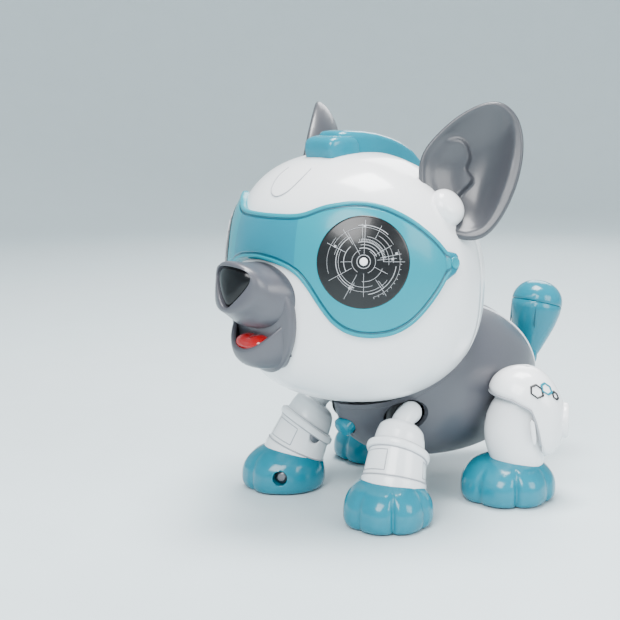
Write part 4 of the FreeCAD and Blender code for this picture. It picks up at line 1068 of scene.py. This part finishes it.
def tail():
    """A leaning stalk with a domed cap, a round root and a dark teal line on each side, painted shade of a
    groove.
    """
    place = axes(TAIL_ROOT, TAIL_LEAN)
    stalk = rounded([(0.01, -1), (4.4, -0.6), (6.2, 3.5), (8.6, 10), (10.6, 16), (11.7, 21.5)], 2)
    stalk += [(TAIL_RADIUS, TAIL_LENGTH - 0.3), (TAIL_RADIUS - 0.25, TAIL_LENGTH), (0.01, TAIL_LENGTH)]
    add_mesh("tail_stalk", lathe(stalk), "tail", TEAL, place, 1, ("tail_body",))
    low = TAIL_LENGTH + 0.15
    wide = TAIL_LENGTH + 0.45
    dome = [(0.01, low), (TAIL_RADIUS - 0.25, low), (TAIL_RADIUS, wide)]
    bends = [math.pi / 2 * k / 16 for k in range(1, 16)]
    dome += [(TAIL_RADIUS * math.cos(t) ** 0.9, wide + TAIL_CAP * math.sin(t)) for t in bends]
    dome.append((0.01, wide + TAIL_CAP))
    add_mesh("tail_tip", lathe(dome), "tail", TEAL, place, 1, ("tail_cap",))
    hub = rounded([(0.01, -3.8), (5.2, -3.8), (6.5, -2.2), (5.9, 1.2), (3.6, 3), (0.01, 3.4)], 1.4)
    add_mesh("tail_hub_dome", lathe(hub, 48), "tail", TEAL, axes(TAIL_ROOT, (0, 1, 0)))
    reaches = [(height, radius) for radius, height in stalk]
    line = [place @ Vector((TAIL_RADIUS * 0.62, -table(reaches, height) * 0.75, height))
            for height in [TAIL_LENGTH - 1.5 - k for k in range(11)]]
    # the dark teal side lines are painted shade of the tail's grooves
    for word, side in SIDES.items():
        add_mesh("tail_line_" + word, tube(line, 0.3, 8), "tail", TEAL_SHADE, side=side)


# ---- floor, lights and camera, in metres
def studio_floor():
    """A pale floor that curves up all round into a backdrop."""
    around, reach, wall, drop, bend = 64, 1.7, 1.5, -0.0005, 0.6
    section = [(0.001, drop), (0.4, drop), (reach - bend, drop)]
    section += [(reach - bend + bend * math.sin(t), drop + bend - bend * math.cos(t))
                for t in [math.pi / 2 * k / 16 for k in range(1, 17)]]
    section.append((reach, wall))
    points = [point for radius, height in section for point in circle(radius, height, around)]
    faces = []
    for i in range(len(section) - 1):
        for j in range(around):
            a, b = i * around + j, i * around + (j + 1) % around
            faces.append((a, b, b + around, a + around))
    mesh = bpy.data.meshes.new("studio_floor")
    mesh.from_pydata(points, [], faces)
    for face in mesh.polygons:
        face.use_smooth = True
    mesh.materials.append(plastic("floor_paint", (0.62, 0.71, 0.74), 0.6, coat=0, variation=0.01))
    return bpy.data.objects.new("studio_floor", mesh)


def studio_lamp(name, at, size, power):
    """A soft square lamp that shines at the puppy's middle."""
    light = bpy.data.lights.new(name, "AREA")
    light.shape = "SQUARE"
    light.size = size
    light.energy = power
    lamp = bpy.data.objects.new(name, light)
    lamp.matrix_world = axes(at, Vector(at) - Vector((0, 0, 0.075)))
    return lamp


def studio():
    """The floor, four soft lamps and an even pale sky."""
    lamps = (("key", (0.45, -0.75, 0.75), 0.55, 15.5), ("side", (0.85, 0.15, 0.45), 0.45, 5.5),
             ("top", (0, 0.05, 0.95), 0.4, 19), ("back", (-0.5, 0.75, 0.6), 0.5, 5))
    staged = [studio_floor()] + [studio_lamp(*lamp) for lamp in lamps]
    for thing in staged:
        bpy.context.scene.collection.objects.link(thing)
    world = bpy.data.worlds.new("studio_air")
    world.use_nodes = True
    world.node_tree.nodes["Background"].inputs["Color"].default_value = (0.78, 0.88, 0.92, 1)
    world.node_tree.nodes["Background"].inputs["Strength"].default_value = 0.42
    bpy.context.scene.world = world


def camera():
    """The photo's three-quarter view: 50 degrees to the puppy's left, slightly above."""
    back = direction(50.1, 9.5)
    aim = Vector((-53.1, -9.5, 71.7)) * MM
    distance = 0.575
    lens = bpy.data.cameras.new("photo_camera")
    lens.sensor_width = 36.0
    lens.lens = 72.58
    lens.clip_start = 0.01
    viewer = bpy.data.objects.new("photo_camera", lens)
    viewer.matrix_world = back.to_track_quat("Z", "Y").to_matrix().to_4x4()
    viewer.matrix_world.translation = aim + back * distance
    bpy.context.scene.collection.objects.link(viewer)
    bpy.context.scene.camera = viewer


# ---- build
dress_cad_nodes()
head_shell("head_front_skin", True, "head_front_shell")
head_shell("head_back_skin", False, "head_back_shell")
for build in (visor, studs, muzzle_base, snout, jaw, tongue, crest, spine_highlight, forehead_groove, tail):
    build()
for word, side in SIDES.items():
    for build in (visor_tab, eye_lens, eye_print, ear, ear_hub, front_leg, elbow, paws, shin, thigh, knob,
                  shin_tab, thigh_seam, thigh_print):
        build(word, side)
studio()
camera()
